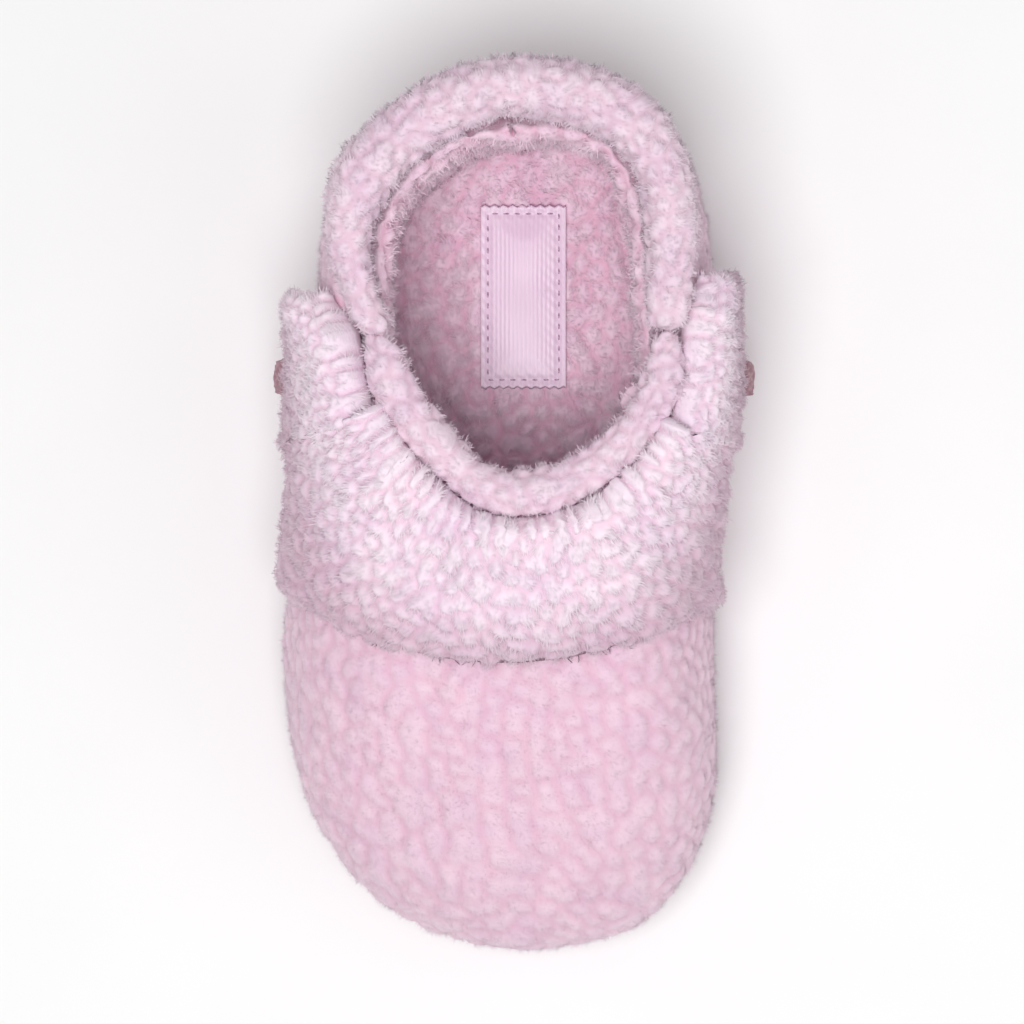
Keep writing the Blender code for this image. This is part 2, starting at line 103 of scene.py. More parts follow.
# The heel's padded rim, from its ends at the sides to its back.
COLLAR_WIDTH = 9.2
COLLAR_HEIGHT = 11.6
COLLAR_REACH = 0.9
COLLAR_END = 14.0
RING_JOIN = 7.0
COLLAR_GAP = 0.2
COLLAR_END_WIDTH = 8.2
COLLAR_END_HEIGHT = 7.4
COLLAR_END_INSET = 1.7
COLLAR_BACK = 92.0
COLLAR_LOW_CENTRE = 50.9
COLLAR_CLIMB = 2.3
COLLAR_BLEND = 2.2
COLLAR_DROP = 0.5
COLLAR_INSET_HEIGHT = 0.3
RIM_INSET = 0.3
CAP_SHARE = 8.0
CAP_START = 0.4

# The lip across the instep.
LIP_WIDTH = 6.4
LIP_HEIGHT = 6.4
LIP_CENTRE = 49.4
LIP_SWELL = 0.8
LIP_SHIFT = 0.5
LIP_SIDE_SHIFT = 1.7
LIP_SHIFT_RUN = 60.0

# The cuff and the tabs at its ends: heights of their faces above the skin, edges and corners.
CUFF_INNER = -0.25
CUFF_OUTER = 4.6
TAB_INNER = 2.2
TAB_THICK = 3.0
TAB_CLEARANCE = 0.4
TAB_CORNER = 3.0
TAB_CORNER_RUN = 12.0
CUFF_TOP_RISE = 0.93
CUFF_TOP_REACH = 0.045
CUFF_LOW_SIDE = 26.0
CUFF_EDGE_FRONT = -20.4
CUFF_EDGE_SIDE = -11.5
CUFF_HALF_WIDTH = 30.0
CUFF_EDGE_STEPS = 24
HIGHEST_RISE = 0.99
CORNER_SHARPNESS = 6.0
TAB_TOP = 47.5
TAB_TOP_REACH = 2.2
TAB_OVERLAP = 1.0
# Where a tab leans back in over the rim, and where the rim pushes it out.
LEAN_SHARE = 0.9
LEAN_SWELL = {"medial": 1.5, "lateral": 2.1}
LEAN_START = 42.0
LEAN_RUN = 7.0
PUSH_START = -4.0
PUSH_RUN = 17.0

SIDES = (("medial", 1), ("lateral", -1))


def smooth(value):
    """Ease from 0 to 1 with level ends."""
    value = np.clip(value, 0.0, 1.0)
    return value * value * (3.0 - 2.0 * value)


def closed_curve(corners, count):
    """Read count points of the smooth closed cubic curve through the corners."""
    ring = np.array(corners, float)
    size = len(ring)
    chords = np.linalg.norm(np.roll(ring, -1, axis=0) - ring, axis=1)
    system = np.zeros((size, size))
    pull = np.zeros((size, 2))
    for i in range(size):
        after = (i + 1) % size
        system[i, i - 1] += chords[i - 1]
        system[i, i] += 2.0 * (chords[i - 1] + chords[i])
        system[i, after] += chords[i]
        leaving = (ring[after] - ring[i]) / chords[i]
        arriving = (ring[i] - ring[i - 1]) / chords[i - 1]
        pull[i] = 6.0 * (leaving - arriving)
    bend = np.linalg.solve(system, pull)
    stations = np.concatenate(([0.0], np.cumsum(chords)))
    place = np.arange(count) * stations[-1] / count
    i = np.minimum(np.searchsorted(stations, place, side="right") - 1, size - 1)
    after = (i + 1) % size
    t = ((place - stations[i]) / chords[i])[:, None]
    rest = 1.0 - t
    swell = ((rest**3 - rest) * bend[i] + (t**3 - t) * bend[after]) * chords[i, None] ** 2 / 6.0
    return rest * ring[i] + t * ring[after] + swell


def polar(corners):
    """Angles and distances of a closed curve seen from the ankle's centre."""
    offsets = closed_curve(corners, CURVE_POINTS) - CENTRE
    angles = np.degrees(np.arctan2(offsets[:, 1], offsets[:, 0]))
    order = np.argsort(angles)
    return angles[order], np.linalg.norm(offsets, axis=1)[order]


OUTLINE_POLAR = polar(OUTLINE)
TOPLINE_POLAR = polar(TOPLINE)


def outline_radius(angle):
    """How far the sole's outline is from the centre at an angle."""
    return np.interp(angle, *OUTLINE_POLAR, period=360.0)


def topline_radius(angle):
    """How far the top line is from the centre at an angle."""
    return np.interp(angle, *TOPLINE_POLAR, period=360.0)


def around(side, angle):
    """The angle of the same place on the inner (1) or outer (-1) side."""
    return angle if side > 0 else -180.0 - angle


def at(angle, radius, height):
    """Points from their angles, distances from the ankle's centre and heights."""
    turn = np.radians(angle)
    x = CENTRE[0] + radius * np.cos(turn)
    y = CENTRE[1] + radius * np.sin(turn)
    return np.stack(np.broadcast_arrays(x, y, height), axis=-1)


def top_height(angle):
    """Height of the rim, a little higher at the heel."""
    heelward = (1.0 + np.sin(np.radians(angle))) / 2.0
    return TOP_FRONT + (TOP_HEEL - TOP_FRONT) * heelward


def toe_share(angle):
    """1 over the toe, 0 at the sides and heel."""
    return np.maximum(0.0, -np.sin(np.radians(angle))) ** 2


def skin(angle, rise):
    """The upper's outer skin. Rise runs from -1 under the foot through 0 at its widest to 1 at the rim."""
    outer = outline_radius(angle)
    inner = topline_radius(angle)
    toe = toe_share(angle)
    under = np.clip(-rise, 0.0, 1.0) * math.pi / 2.0
    over = np.clip(rise, 0.0, 1.0) * math.pi / 2.0
    high_radius = inner + (outer - inner) * np.maximum(np.cos(over), 0.0) ** (1.0 + TOE_REACH * toe)
    high = WIDEST + (top_height(angle) - WIDEST) * np.sin(over) ** (1.0 - TOE_FULLNESS * toe)
    low_radius = outer - TUCK * (1.0 - np.cos(under))
    low = WIDEST - (WIDEST - UPPER_BOTTOM) * np.sin(under)
    below = rise < 0.0
    return at(angle, np.where(below, low_radius, high_radius), np.where(below, low, high))


def unit(vectors):
    """The vectors' directions, each of length 1."""
    lengths = np.linalg.norm(vectors, axis=-1, keepdims=True)
    return vectors / np.maximum(lengths, 1e-9)


def skin_normal(angle, rise):
    """The skin's outward direction, level below the widest line."""
    level = np.clip(rise, 0.0, NORMAL_LIMIT)
    run = skin(angle + 1.0, level) - skin(angle - 1.0, level)
    up = skin(angle, level + NORMAL_STEP) - skin(angle, level - NORMAL_STEP)
    normal = unit(np.cross(run, up))
    height = skin(angle, rise)[..., 2]
    normal[..., 2] *= smooth((height - WIDEST) / NORMAL_EASE)
    return unit(normal)


def rise_at(angle, height):
    """The rise at which the skin reaches a height above its widest line."""
    share = (height - WIDEST) / (top_height(angle) - WIDEST)
    share = np.clip(share, 0.0, 1.0) ** (1.0 / (1.0 - TOE_FULLNESS * toe_share(angle)))
    return np.arcsin(share) * 2.0 / math.pi


def inner_angle(angle):
    """The angle folded to the inner side, from -90 at the toe to 90 at the heel."""
    return np.degrees(np.arcsin(np.sin(np.radians(angle))))


def rounded_max(first, second):
    """The larger of two values, with a rounded corner where they cross."""
    return (first**CORNER_SHARPNESS + second**CORNER_SHARPNESS) ** (1.0 / CORNER_SHARPNESS)


def cuff_low(angle):
    """Rise of the wall under the cuff's lower edge: an arc in plan, and level at the sides."""
    low = np.zeros_like(angle)
    high = np.full_like(angle, HIGHEST_RISE)
    for _ in range(CUFF_EDGE_STEPS):
        middle = (low + high) / 2.0
        place = skin(angle, middle)
        arc = (CUFF_EDGE_SIDE - CUFF_EDGE_FRONT) * (place[..., 0] / CUFF_HALF_WIDTH) ** 2
        beyond = place[..., 1] < CUFF_EDGE_FRONT + arc
        low = np.where(beyond, middle, low)
        high = np.where(beyond, high, middle)
    return rounded_max(low, rise_at(angle, CUFF_LOW_SIDE))


def throat_seam(angle):
    """Rise of the seam round the flap: under the cuff's front edge, then up to the ankle."""
    climb = smooth((inner_angle(angle) - SIDE_SEAM) / THROAT_RUN)
    side = rise_at(angle, THROAT_LOW + THROAT_CLIMB * climb)
    front = rounded_max(side, cuff_low(angle))
    return np.where(inner_angle(angle) > SIDE_SEAM, side, front)


def flap_top(angle):
    """Height of the instep panel's upper edge, just under the lip."""
    front = (FLAP_TOP_START - inner_angle(angle)) / (90.0 + FLAP_TOP_START)
    return FLAP_TOP_SIDE + FLAP_TOP_CLIMB * smooth(front)


def on_skin(angle, rise, height):
    """Points at a height above the upper's skin."""
    return skin(angle, rise) + np.asarray(height)[..., None] * skin_normal(angle, rise)


# ---------------------------------------------------------------------------
# Closed forms: rings of points skinned into one body
# ---------------------------------------------------------------------------
class Form:
    """A closed mesh in the making, with how much pile each of its points grows."""

    def __init__(self, points, quads, tris, pile):
        self.points = np.asarray(points, float)
        self.quads = np.asarray(quads, np.int64).reshape(-1, 4)
        self.tris = np.asarray(tris, np.int64).reshape(-1, 3)
        self.pile = np.asarray(pile, float)

    def normals(self):
        """Area-weighted directions of the points."""
        total = np.zeros_like(self.points)
        for faces in (self.quads[:, :3], self.quads[:, (0, 2, 3)], self.tris):
            a, b, c = (self.points[faces[:, k]] for k in range(3))
            face = np.cross(b - a, c - a)
            for k in range(3):
                np.add.at(total, faces[:, k], face)
        return unit(total)


def loft_form(rings, pile, fronts=None):
    """Skin rings of points. Rings with a front of some points and a back get strips for ends."""
    rings = np.asarray(rings, float)
    stations, size = rings.shape[:2]
    low = np.arange(stations - 1)[:, None] * size + np.arange(size)[None]
    after = np.arange(stations - 1)[:, None] * size + (np.arange(size)[None] + 1) % size
    quads = np.stack((low, after, after + size, low + size), axis=-1).reshape(-1, 4)
    points = rings.reshape(-1, 3)
    tris = []
    for first, flip in ((0, True), ((stations - 1) * size, False)):
        if fronts is None:
            centre = len(points)
            points = np.vstack((points, points[first:first + size].mean(axis=0)))
            pile = np.append(pile, pile[first])
            fan = [(first + i, first + (i + 1) % size, centre) for i in range(size)]
        else:
            fan = strip_end(first, size, fronts)
        tris += [face[::-1] if flip else face for face in fan]
    form = Form(points, quads, tris, pile)
    outward = form.points - own_ring_centre(form, rings)
    if np.einsum("ij,ij->", form.normals(), outward) < 0.0:
        form.quads = form.quads[:, ::-1]
        form.tris = form.tris[:, ::-1]
    return form


def own_ring_centre(form, rings):
    """Each point's own ring centre, and the point itself for the ends' middles."""
    stations, size = rings.shape[:2]
    centres = np.repeat(rings.mean(axis=1), size, axis=0)
    return np.vstack((centres, form.points[stations * size:]))


def strip_end(first, size, fronts):
    """Triangles between a ring's front and back points, walked from one edge to the other."""
    front = list(range(fronts))
    back = [0] + list(range(size - 1, fronts - 1, -1)) + [fronts - 1]
    faces = []
    i = 0
    j = 0
    while i < len(front) - 1 or j < len(back) - 1:
        front_share = (i + 1) / (len(front) - 1)
        back_share = (j + 1) / (len(back) - 1)
        if j >= len(back) - 1 or (i < len(front) - 1 and front_share <= back_share):
            faces.append((first + front[i], first + front[i + 1], first + back[j]))
            i += 1
        else:
            faces.append((first + front[i], first + back[j + 1], first + back[j]))
            j += 1
    return [face for face in faces if len(set(face)) == 3]


def quarter_round(share):
    """A rounded rise from 0 at 0 to 1 at 1 and beyond."""
    return np.sqrt(1.0 - (1.0 - np.minimum(share, 1.0)) ** 2)


def bulge(share, edge):
    """A rounded rise from 0 at both ends of a span to 1, over the share edge of it."""
    return quarter_round(np.minimum(share, 1.0 - share) / edge)


def section(front_count, back_count, edge, seat):
    """Shares of height and of depth round a layer's section: up its front and down its back.

    Front and back meet at the depth share seat, so a low seat keeps the edges down on what lies below."""
    up = np.linspace(0.0, 1.0, front_count)
    down = np.linspace(1.0, 0.0, back_count + 2)[1:-1]
    heights = np.concatenate((up, down))
    faces = np.concatenate((seat + (1.0 - seat) * bulge(up, edge), seat - seat * bulge(down, edge)))
    return heights, faces


# Where a layer's pile begins round its edge, and where it covers the top edge of a lining.
PILE_START = 0.04
PILE_RUN = 0.2
LINING_EDGE = 0.94
LINING_EDGE_RUN = 0.03


def layer_form(span, low, high, outer, inner, columns, rows, back_rows=10, edge=0.05,
               inwards=False, place=on_skin, seat=0.5, ends=(0.0, 0.0), end_depth=0.1):
    """A soft layer on the upper between two heights above its skin, its pile outside or inside.

    Edge and ends are the shares of the layer's height and span that are rounded off."""
    heights, faces = section(rows, back_rows, edge, seat)
    if inwards:
        outer, inner = inner, outer
    angles = np.linspace(span[0], span[1], columns)
    lows = low(angles)
    highs = high(angles)
    rises = lows[:, None] + (highs - lows)[:, None] * heights[None]
    shares = np.broadcast_to(faces, rises.shape)
    along_span = np.linspace(0.0, 1.0, columns)
    for share, near in zip(ends, (along_span, along_span[::-1])):
        if share:
            closing = end_depth + (1.0 - end_depth) * quarter_round(near / share)
            shares = seat + (shares - seat) * closing[:, None]
    depths = inner + (outer - inner) * shares
    rings = place(np.broadcast_to(angles[:, None], rises.shape), rises, depths)
    pile = smooth((faces - seat + PILE_START) / PILE_RUN)
    if inwards:
        pile = np.maximum(pile, smooth((heights - LINING_EDGE) / LINING_EDGE_RUN))
    return loft_form(rings, np.tile(pile, columns), fronts=rows)


def roll_form(stations, sides):
    """A rolled rim through stations of angle, radius, height, width and thickness."""
    angle, radius, height, width, thickness = np.array(stations, float).T[:, :, None]
    turn = (2.0 * math.pi * np.arange(sides) / sides)[None]
    rings = at(angle, radius + 0.5 * width * np.cos(turn), height + 0.5 * thickness * np.sin(turn))
    return loft_form(rings, np.ones(rings.shape[0] * sides))


def collar_stations(side, count, inset=0.0):
    """Half of the heel's padded rim, from its end at the side to the heel's centre."""
    share = np.linspace(0.0, 1.0, count)
    start = RING_JOIN + COLLAR_GAP
    angle = around(side, start + (COLLAR_BACK - RING_JOIN - COLLAR_GAP) * share)
    blend = smooth((inner_angle(angle) - COLLAR_END) / (COLLAR_BACK - COLLAR_END) * COLLAR_BLEND)
    cap = np.sqrt(np.minimum(1.0, CAP_START + share * CAP_SHARE))
    width = COLLAR_END_WIDTH + (COLLAR_WIDTH - COLLAR_END_WIDTH) * blend
    height = COLLAR_END_HEIGHT + (COLLAR_HEIGHT - COLLAR_END_HEIGHT) * blend
    heel_radius = outline_radius(angle) - RIM_INSET - COLLAR_WIDTH / 2.0 + COLLAR_REACH
    end_radius = topline_radius(angle) - COLLAR_END_INSET
    radius = end_radius + (heel_radius - end_radius) * blend
    centre = COLLAR_LOW_CENTRE + COLLAR_CLIMB * blend - COLLAR_DROP
    width = width * cap - inset
    height = height * cap - COLLAR_INSET_HEIGHT * inset
    return np.stack((angle, radius, centre, width, height), axis=1)


def lip_stations(count, inset=0.0):
    """The rim across the instep, from the outer side round the front to the inner side."""
    share = np.linspace(0.0, 1.0, count)
    angle = -180.0 - RING_JOIN + (180.0 + 2.0 * RING_JOIN) * share
    cap = np.sqrt(np.minimum(1.0, CAP_START + CAP_SHARE * np.minimum(share, 1.0 - share)))
    sideways = LIP_SIDE_SHIFT * smooth(1.0 + inner_angle(angle) / LIP_SHIFT_RUN)
    radius = topline_radius(angle) - RIM_INSET - LIP_WIDTH / 2.0 + LIP_SHIFT + sideways
    level = np.full(count, LIP_CENTRE + LIP_SHIFT)
    width = (LIP_WIDTH + LIP_SWELL) * cap - inset
    height = (LIP_HEIGHT + LIP_SWELL) * cap - inset
    return np.stack((angle, radius, level, width, height), axis=1)


def on_tab(angle, rise, height):
    """Points of a tab at a height above its inner face, clear of the rim and leaning in over it."""
    normal = skin_normal(angle, rise)
    inner = skin(angle, rise) + TAB_INNER * normal
    offset = inner[..., :2] - CENTRE
    reach = np.linalg.norm(offset, axis=-1)
    clear = outline_radius(angle) + TAB_CLEARANCE
    leaning = smooth((inner[..., 2] - LEAN_START) / LEAN_RUN)
    push = np.maximum(0.0, clear - reach) * smooth((inner_angle(angle) - PUSH_START) / PUSH_RUN)
    push *= 1.0 - LEAN_SHARE * leaning
    inner[..., :2] += (push / reach)[..., None] * offset
    height = np.asarray(height)
    swell = np.where(offset[..., 0] > 0.0, LEAN_SWELL["medial"], LEAN_SWELL["lateral"])
    swell = swell * TAB_INNER * leaning * (1.0 - height / TAB_THICK)
    return inner + (height - swell)[..., None] * normal


# ---------------------------------------------------------------------------
# Fleece: the cloth gathers into curls, and each curl carries its own fibres
# ---------------------------------------------------------------------------
class Fleece:
    """How a fleece is made, in millimetres and shares.

    Its curls stand curl apart and dome high. Density counts its fibres to the square millimetre, and
    length and radius are theirs. They rise off the cloth by lift, lie along the combing by lay, lean
    to their curl's tip by gather and bend by kink."""

    # How much longer than wide the curls are, and how far they lean the way they are combed.
    stretch = 1.0
    lean = 0.0
    # Slow waves of the cloth.
    wave = 0.5
    wave_size = 11.0
    # The share of curls that run on into their neighbours.
    join = 0.5
    # How many bends a fibre has, and how much it winds round its curl.
    bends = 1
    swirl = 0.0

    def __init__(self, **settings):
        for key, value in settings.items():
            setattr(self, key, value)


# How far a fibre's shading turns away from the cloth below it.
ROUNDNESS = 0.25
# How far its shading turns up, because light passes through the ends of the pile.
UPLIFT = 0.6
# How far down the wall the painted shade on the pile's colour is measured, in millimetres.
PAINTED_SHADE_REACH = 30.0
# The chart in which curls are laid out: the wall's radius, where its angle wraps, and the combing.
CHART_RADIUS = 27.0
WRAP_TURN = math.pi * 0.75
TOEWARD_TURN = -1.0
COMB_OUTWARD = 0.5
# Curls: the pile that they need, how steep their sides are, their heights, and how deep they sit.
CURL_PILE = 0.2
CROWN_GAIN = 1.15
NEAR_CURLS = 5
CURL_HEIGHTS = (0.45, 1.25)
DOME_SINK = 0.45
# Tones from 0 in the creases to 1 at the tips, as painted shade in the creases and painted light on the
# crowns and tips.
CREASE_TONE = 0.08
CROWN_TONE = 0.52
TIP_TONE = 0.35
TONE_SPREAD = (-0.06, 0.1)
# Fibres: fewer in the creases, longer on high curls, dipped into the cloth at their roots.
CREASE_FIBRES = 0.3
CROWN_FIBRES = 0.7
LENGTH_SPREAD = (0.65, 1.15)
LOW_LENGTH = 0.7
HIGH_LENGTH = 0.4
RADIUS_SPREAD = (0.7, 1.25)
SCATTER = 0.4
TOSS = 0.2
SHARED_TOSS = 0.3
LEAST_LIFT = 0.25
SIDE_SCATTER = 0.15
BOW_OUT = 0.5
BOW_SCATTER = 0.7
TWIST = 0.6
ROOT_DEPTH = 0.3
TAPER = 0.3
RIDGE = 0.6


def along(ways, normals):
    """The ways laid down on the cloth."""
    return unit(ways - np.einsum("ij,ij->i", ways, normals)[:, None] * normals)


def chart(points, stretch):
    """Coordinates in which curls are round: squeezed down the wall by the curls' stretch."""
    if stretch == 1.0:
        return points
    offset = points[:, :2] - CENTRE
    reach = np.linalg.norm(offset, axis=1)
    turn = np.arctan2(offset[:, 1], offset[:, 0])
    # The angle wraps in the middle of the outer side, so a piece that reaches the toe counts on past it.
    if turn.min() < TOEWARD_TURN:
        turn = np.where(turn > WRAP_TURN, turn - 2.0 * math.pi, turn)
    down = (reach - points[:, 2]) / stretch
    return np.stack((turn * CHART_RADIUS, down, np.zeros_like(down)), axis=1)


def combed(points, normals):
    """The way the pile lies: down the wall and outwards, along the surface."""
    outward = np.zeros_like(points)
    outward[:, :2] = unit(points[:, :2] - CENTRE)
    return along(COMB_OUTWARD * outward - np.array((0.0, 0.0, 1.0)), normals)


def spaced(places, gap, order):
    """Pick points no nearer than gap to each other, in the given order."""
    cells = {}
    kept = []
    beside = list(product((-1, 0, 1), repeat=3))
    for i in order:
        place = places[i]
        key = tuple((place // gap).astype(int))
        near = [o for step in beside for o in cells.get(tuple(k + s for k, s in zip(key, step)), ())]
        gone = places[near] - place if near else np.full((1, 3), gap)
        if (gone**2).sum(axis=1).min() >= gap * gap:
            cells.setdefault(key, []).append(i)
            kept.append(i)
    return np.array(kept)


def tree_of(places):
    """A search tree for the nearest of some places."""
    tree = KDTree(len(places))
    for i, place in enumerate(places):
        tree.insert(place, i)
    tree.balance()
    return tree


def curl_field(form, style, rng):
    """Curls on a form: their centres, a search tree, and each point's crown (0 to 1) and own curl."""
    places = chart(form.points, style.stretch)
    grown = np.flatnonzero(form.pile > CURL_PILE)
    centres = spaced(places, style.curl, rng.permutation(grown))
    tree = tree_of(places[centres])
    family = np.arange(len(centres))
    for i in range(len(centres)):
        if rng.random() < style.join:
            near = tree.find_n(places[centres[i]], 2)
            family[i] = family[near[1][1]]
    crown = np.zeros(len(places))
    owner = np.zeros(len(places), int)
    for i in range(len(places)):
        if form.pile[i] <= 0.0:
            continue
        found = tree.find_n(places[i], NEAR_CURLS)
        own = found[0]
        owner[i] = own[1]
        other = next((f[2] for f in found if family[f[1]] != family[own[1]]), found[-1][2])
        crown[i] = (other - own[2]) / style.curl
    return centres, tree, smooth(crown * CROWN_GAIN), owner


def rolling(points, size):
    """Slow waves of the cloth at each point."""
    return np.array([noise.noise(Vector(place) / size) for place in points])


def painted_curl_shading(crown):
    """Tone of the cloth under the fibres: painted shade in the creases, painted light at a curl's crown."""
    return CREASE_TONE + CROWN_TONE * crown


def fleece_form(form, style, seed):
    """Raise a form's curls and grow its fibres. Returns points, faces, directions and attributes."""
    rng = np.random.default_rng(seed)
    normals = form.normals()
    centres, tree, crown, owner = curl_field(form, style, rng)
    heights = rng.uniform(*CURL_HEIGHTS, len(centres))
    hues = rng.random(len(centres))
    curled = style.dome * crown * heights[owner]
    raised = curled - DOME_SINK * style.dome + style.wave * rolling(form.points, style.wave_size)
    points = form.points + (form.pile * raised)[:, None] * normals
    points += (form.pile * curled * style.lean)[:, None] * combed(form.points, normals)
    form = Form(points, form.quads, form.tris, form.pile)
    normals = form.normals()
    fibres = grow_fibres(form, normals, crown, centres, tree, heights, hues, style, rng)
    every = np.vstack((points, fibres["points"]))
    # A measure for the painted shade: higher further out from the ankle's centre and lower down the wall.
    painted_shade_fall = np.linalg.norm(every[:, :2] - CENTRE, axis=1) - every[:, 2]
    return (
        every,
        form.quads,
        np.vstack((form.tris, fibres["tris"] + len(points))),
        np.vstack((normals, fibres["directions"])),
        {
            "tone": np.concatenate((painted_curl_shading(crown), fibres["tone"])),
            "hue": np.concatenate((hues[owner], fibres["hue"])),
            "painted_shade_fall": 0.5 + painted_shade_fall / (2.0 * PAINTED_SHADE_REACH),
        },
    )


def fibre_roots(form, normals, crown, density, rng):
    """Places where fibres grow, the way out of the cloth there, and the face that each stands on."""
    corners = [form.points[form.quads[:, k]] for k in range(4)]
    area = 0.5 * np.linalg.norm(np.cross(corners[2] - corners[0], corners[3] - corners[1]), axis=1)
    grown = area * form.pile[form.quads].mean(axis=1)
    count = int(grown.sum() * density)
    weight = grown * (CREASE_FIBRES + CROWN_FIBRES * crown[form.quads].mean(axis=1))
    picked = rng.choice(len(weight), count, p=weight / weight.sum())
    u, v = rng.random((2, count, 1))
    shares = ((1 - u) * (1 - v), u * (1 - v), u * v, (1 - u) * v)
    root = sum(share * corner[picked] for share, corner in zip(shares, corners))
    out = unit(sum(share * normals[form.quads[picked, k]] for k, share in enumerate(shares)))
    return root, out, picked


def fibre_faces(rings):
    """Triangles of one three-sided fibre: its foot, its sides and its tip."""
    faces = [(2, 1, 0)]
    for step in range(rings):
        for corner in range(3):
            low = 3 * step + corner
            after = 3 * step + (corner + 1) % 3
            if step == rings - 1:
                faces.append((low, after, 3 * rings))
            else:
                faces += [(low, after, after + 3), (low, after + 3, low + 3)]
    return np.array(faces)


def grow_fibres(form, normals, crown, centres, tree, heights, hues, style, rng):
    """Tapered three-sided fibres that bend, and are drawn towards the tip of their own curl."""
    root, out, picked = fibre_roots(form, normals, crown, style.density, rng)
    count = len(root)
    places = chart(root, style.stretch)
    owner = np.array([tree.find(place)[1] for place in places])
    curl_root = form.points[centres][owner]
    curl_out = normals[centres][owner]
    toss = along(rng.normal(size=(len(centres), 3)), normals[centres])[owner]
    scatter = along(rng.normal(size=(count, 3)), out)
    swirl = along(np.cross(out, root - curl_root), out)
    length = style.length * rng.uniform(*LENGTH_SPREAD, (count, 1))
    length = length * (LOW_LENGTH + HIGH_LENGTH * heights[owner][:, None])

    def aim(place, way, side):
        return unit(style.lift * way + style.lay * combed(place, way) + side)

    own_side = SCATTER * scatter + TOSS * toss + style.swirl * swirl
    own_tip = root + length * aim(root, out, own_side)
    shared_tip = curl_root + length * aim(curl_root, curl_out, SHARED_TOSS * toss)
    tip = own_tip + style.gather * (shared_tip - own_tip)
    risen = np.einsum("ij,ij->i", tip - root, out)[:, None]
    tip += np.maximum(LEAST_LIFT * style.length * style.lift - risen, 0.0) * out
    run = tip - root
    axis = unit(run)
    side = unit(np.cross(axis, out + SIDE_SCATTER * scatter))
    ridge = np.cross(side, axis)
    bow = style.kink * length * (BOW_OUT * out + BOW_SCATTER * scatter)
    twist = TWIST * style.kink * length * side
    radius = style.radius * rng.uniform(*RADIUS_SPREAD, (count, 1))
    rings = style.bends + 1
    points = []
    for step in range(rings):
        share = step / rings
        centre = root + share * run + math.sin(math.pi * share) * bow
        centre = centre + math.sin(2.0 * math.pi * share) * twist
        if step == 0:
            centre = centre - ROOT_DEPTH * out
        wide = radius * (1.0 - TAPER * share)
        points += [centre - wide * side, centre + RIDGE * wide * ridge, centre + wide * side]
    points.append(tip)
    size = len(points)
    faces = fibre_faces(rings)
    across = np.append(np.tile(np.array((-1.0, 0.0, 1.0)), rings), 0.0)[None, :, None] * side[:, None]
    directions = unit(out[:, None] + ROUNDNESS * across + UPLIFT * np.array((0.0, 0.0, 1.0)))
    shares = np.append(np.repeat(np.arange(rings) / rings, 3), 1.0)
    shade = rng.uniform(*TONE_SPREAD, (count, 1))
    # Painted light: each fibre is lighter towards its tip, to make up for the shade among the fibres.
    tone = painted_curl_shading(crown[form.quads[picked]].mean(axis=1)[:, None]) + TIP_TONE * shares[None] + shade
    return {
        "points": np.stack(points, axis=1).reshape(-1, 3),
        "tris": (size * np.arange(count)[:, None, None] + faces[None]).reshape(-1, 3),
        "directions": directions.reshape(-1, 3),
        "tone": tone.ravel(),
        "hue": np.repeat(hues[owner], size),
    }


def mesh_object(name, points, quads, tris, directions=None, attributes=None):
    """Make an object from points in millimetres, its faces, and the directions it is shaded with."""
    mesh = bpy.data.meshes.new(name)
    corners = np.concatenate((np.asarray(quads).ravel(), np.asarray(tris).ravel())).astype(np.int32)
    starts = np.concatenate((
        np.arange(len(quads)) * 4,
        len(quads) * 4 + np.arange(len(tris)) * 3,
    )).astype(np.int32)
    mesh.vertices.add(len(points))
    mesh.vertices.foreach_set("co", (np.asarray(points) * MM).astype(np.float32).ravel())
    mesh.loops.add(len(corners))
    mesh.loops.foreach_set("vertex_index", corners)
    mesh.polygons.add(len(starts))
    mesh.polygons.foreach_set("loop_start", starts)
    mesh.update(calc_edges=True)
    mesh.validate()
    for key, values in (attributes or {}).items():
        layer = mesh.attributes.new(key, "FLOAT", "POINT")
        layer.data.foreach_set("value", np.asarray(values, np.float32))
    mesh.shade_smooth()
    if directions is not None:
        mesh.normals_split_custom_set_from_vertices(directions)
    made = bpy.data.objects.new(name, mesh)
    bpy.context.collection.objects.link(made)
    return made


def fleece_object(name, form, style, seed, look):
    """Grow a fleece on a form and make it an object."""
    made = mesh_object(name, *fleece_form(form, style, seed))
    made.data.materials.append(look)
    return made


# ---------------------------------------------------------------------------
# Stitches, pads and worked surfaces
# ---------------------------------------------------------------------------
# How near its middle a pad's first and last rings are.
PAD_CORE = 0.03
# How wide a stitch is at its ends and how much wider in its middle.
STITCH_END = 0.55
STITCH_SWELL = 0.45
WELD_GAP = 0.001
# Small shapes are remeshed and simulated at this many times their size.
SIM_SCALE = 10.0


def inset_outline(distance, count):
    """The widest line drawn inwards by a distance, as plan points."""
    ring = closed_curve(OUTLINE, count)
    run = unit(np.roll(ring, -1, axis=0) - np.roll(ring, 1, axis=0))
    inward = np.stack((run[:, 1], -run[:, 0]), axis=1)
    return ring + distance * inward


def pad_form(outline, middle, bottom, top, under_rows, top_rows, edge):
    """A flat pad, as rings from the middle of its underside out to its edge and back over its top."""
    reach = np.linalg.norm(outline - middle, axis=1).mean()
    levels = [(share, bottom) for share in np.linspace(PAD_CORE, 1.0 - edge / reach, under_rows)]
    levels += [(1.0, bottom + edge), (1.0, top - edge)]
    levels += [(share, top) for share in np.linspace(1.0 - edge / reach, PAD_CORE, top_rows)]
    rings = []
    for share, height in levels:
        plan = middle + share * (outline - middle)
        rings.append(np.column_stack((plan, np.full(len(plan), height))))
    rings = np.array(rings)
    return loft_form(rings, np.zeros(rings.shape[0] * rings.shape[1]))


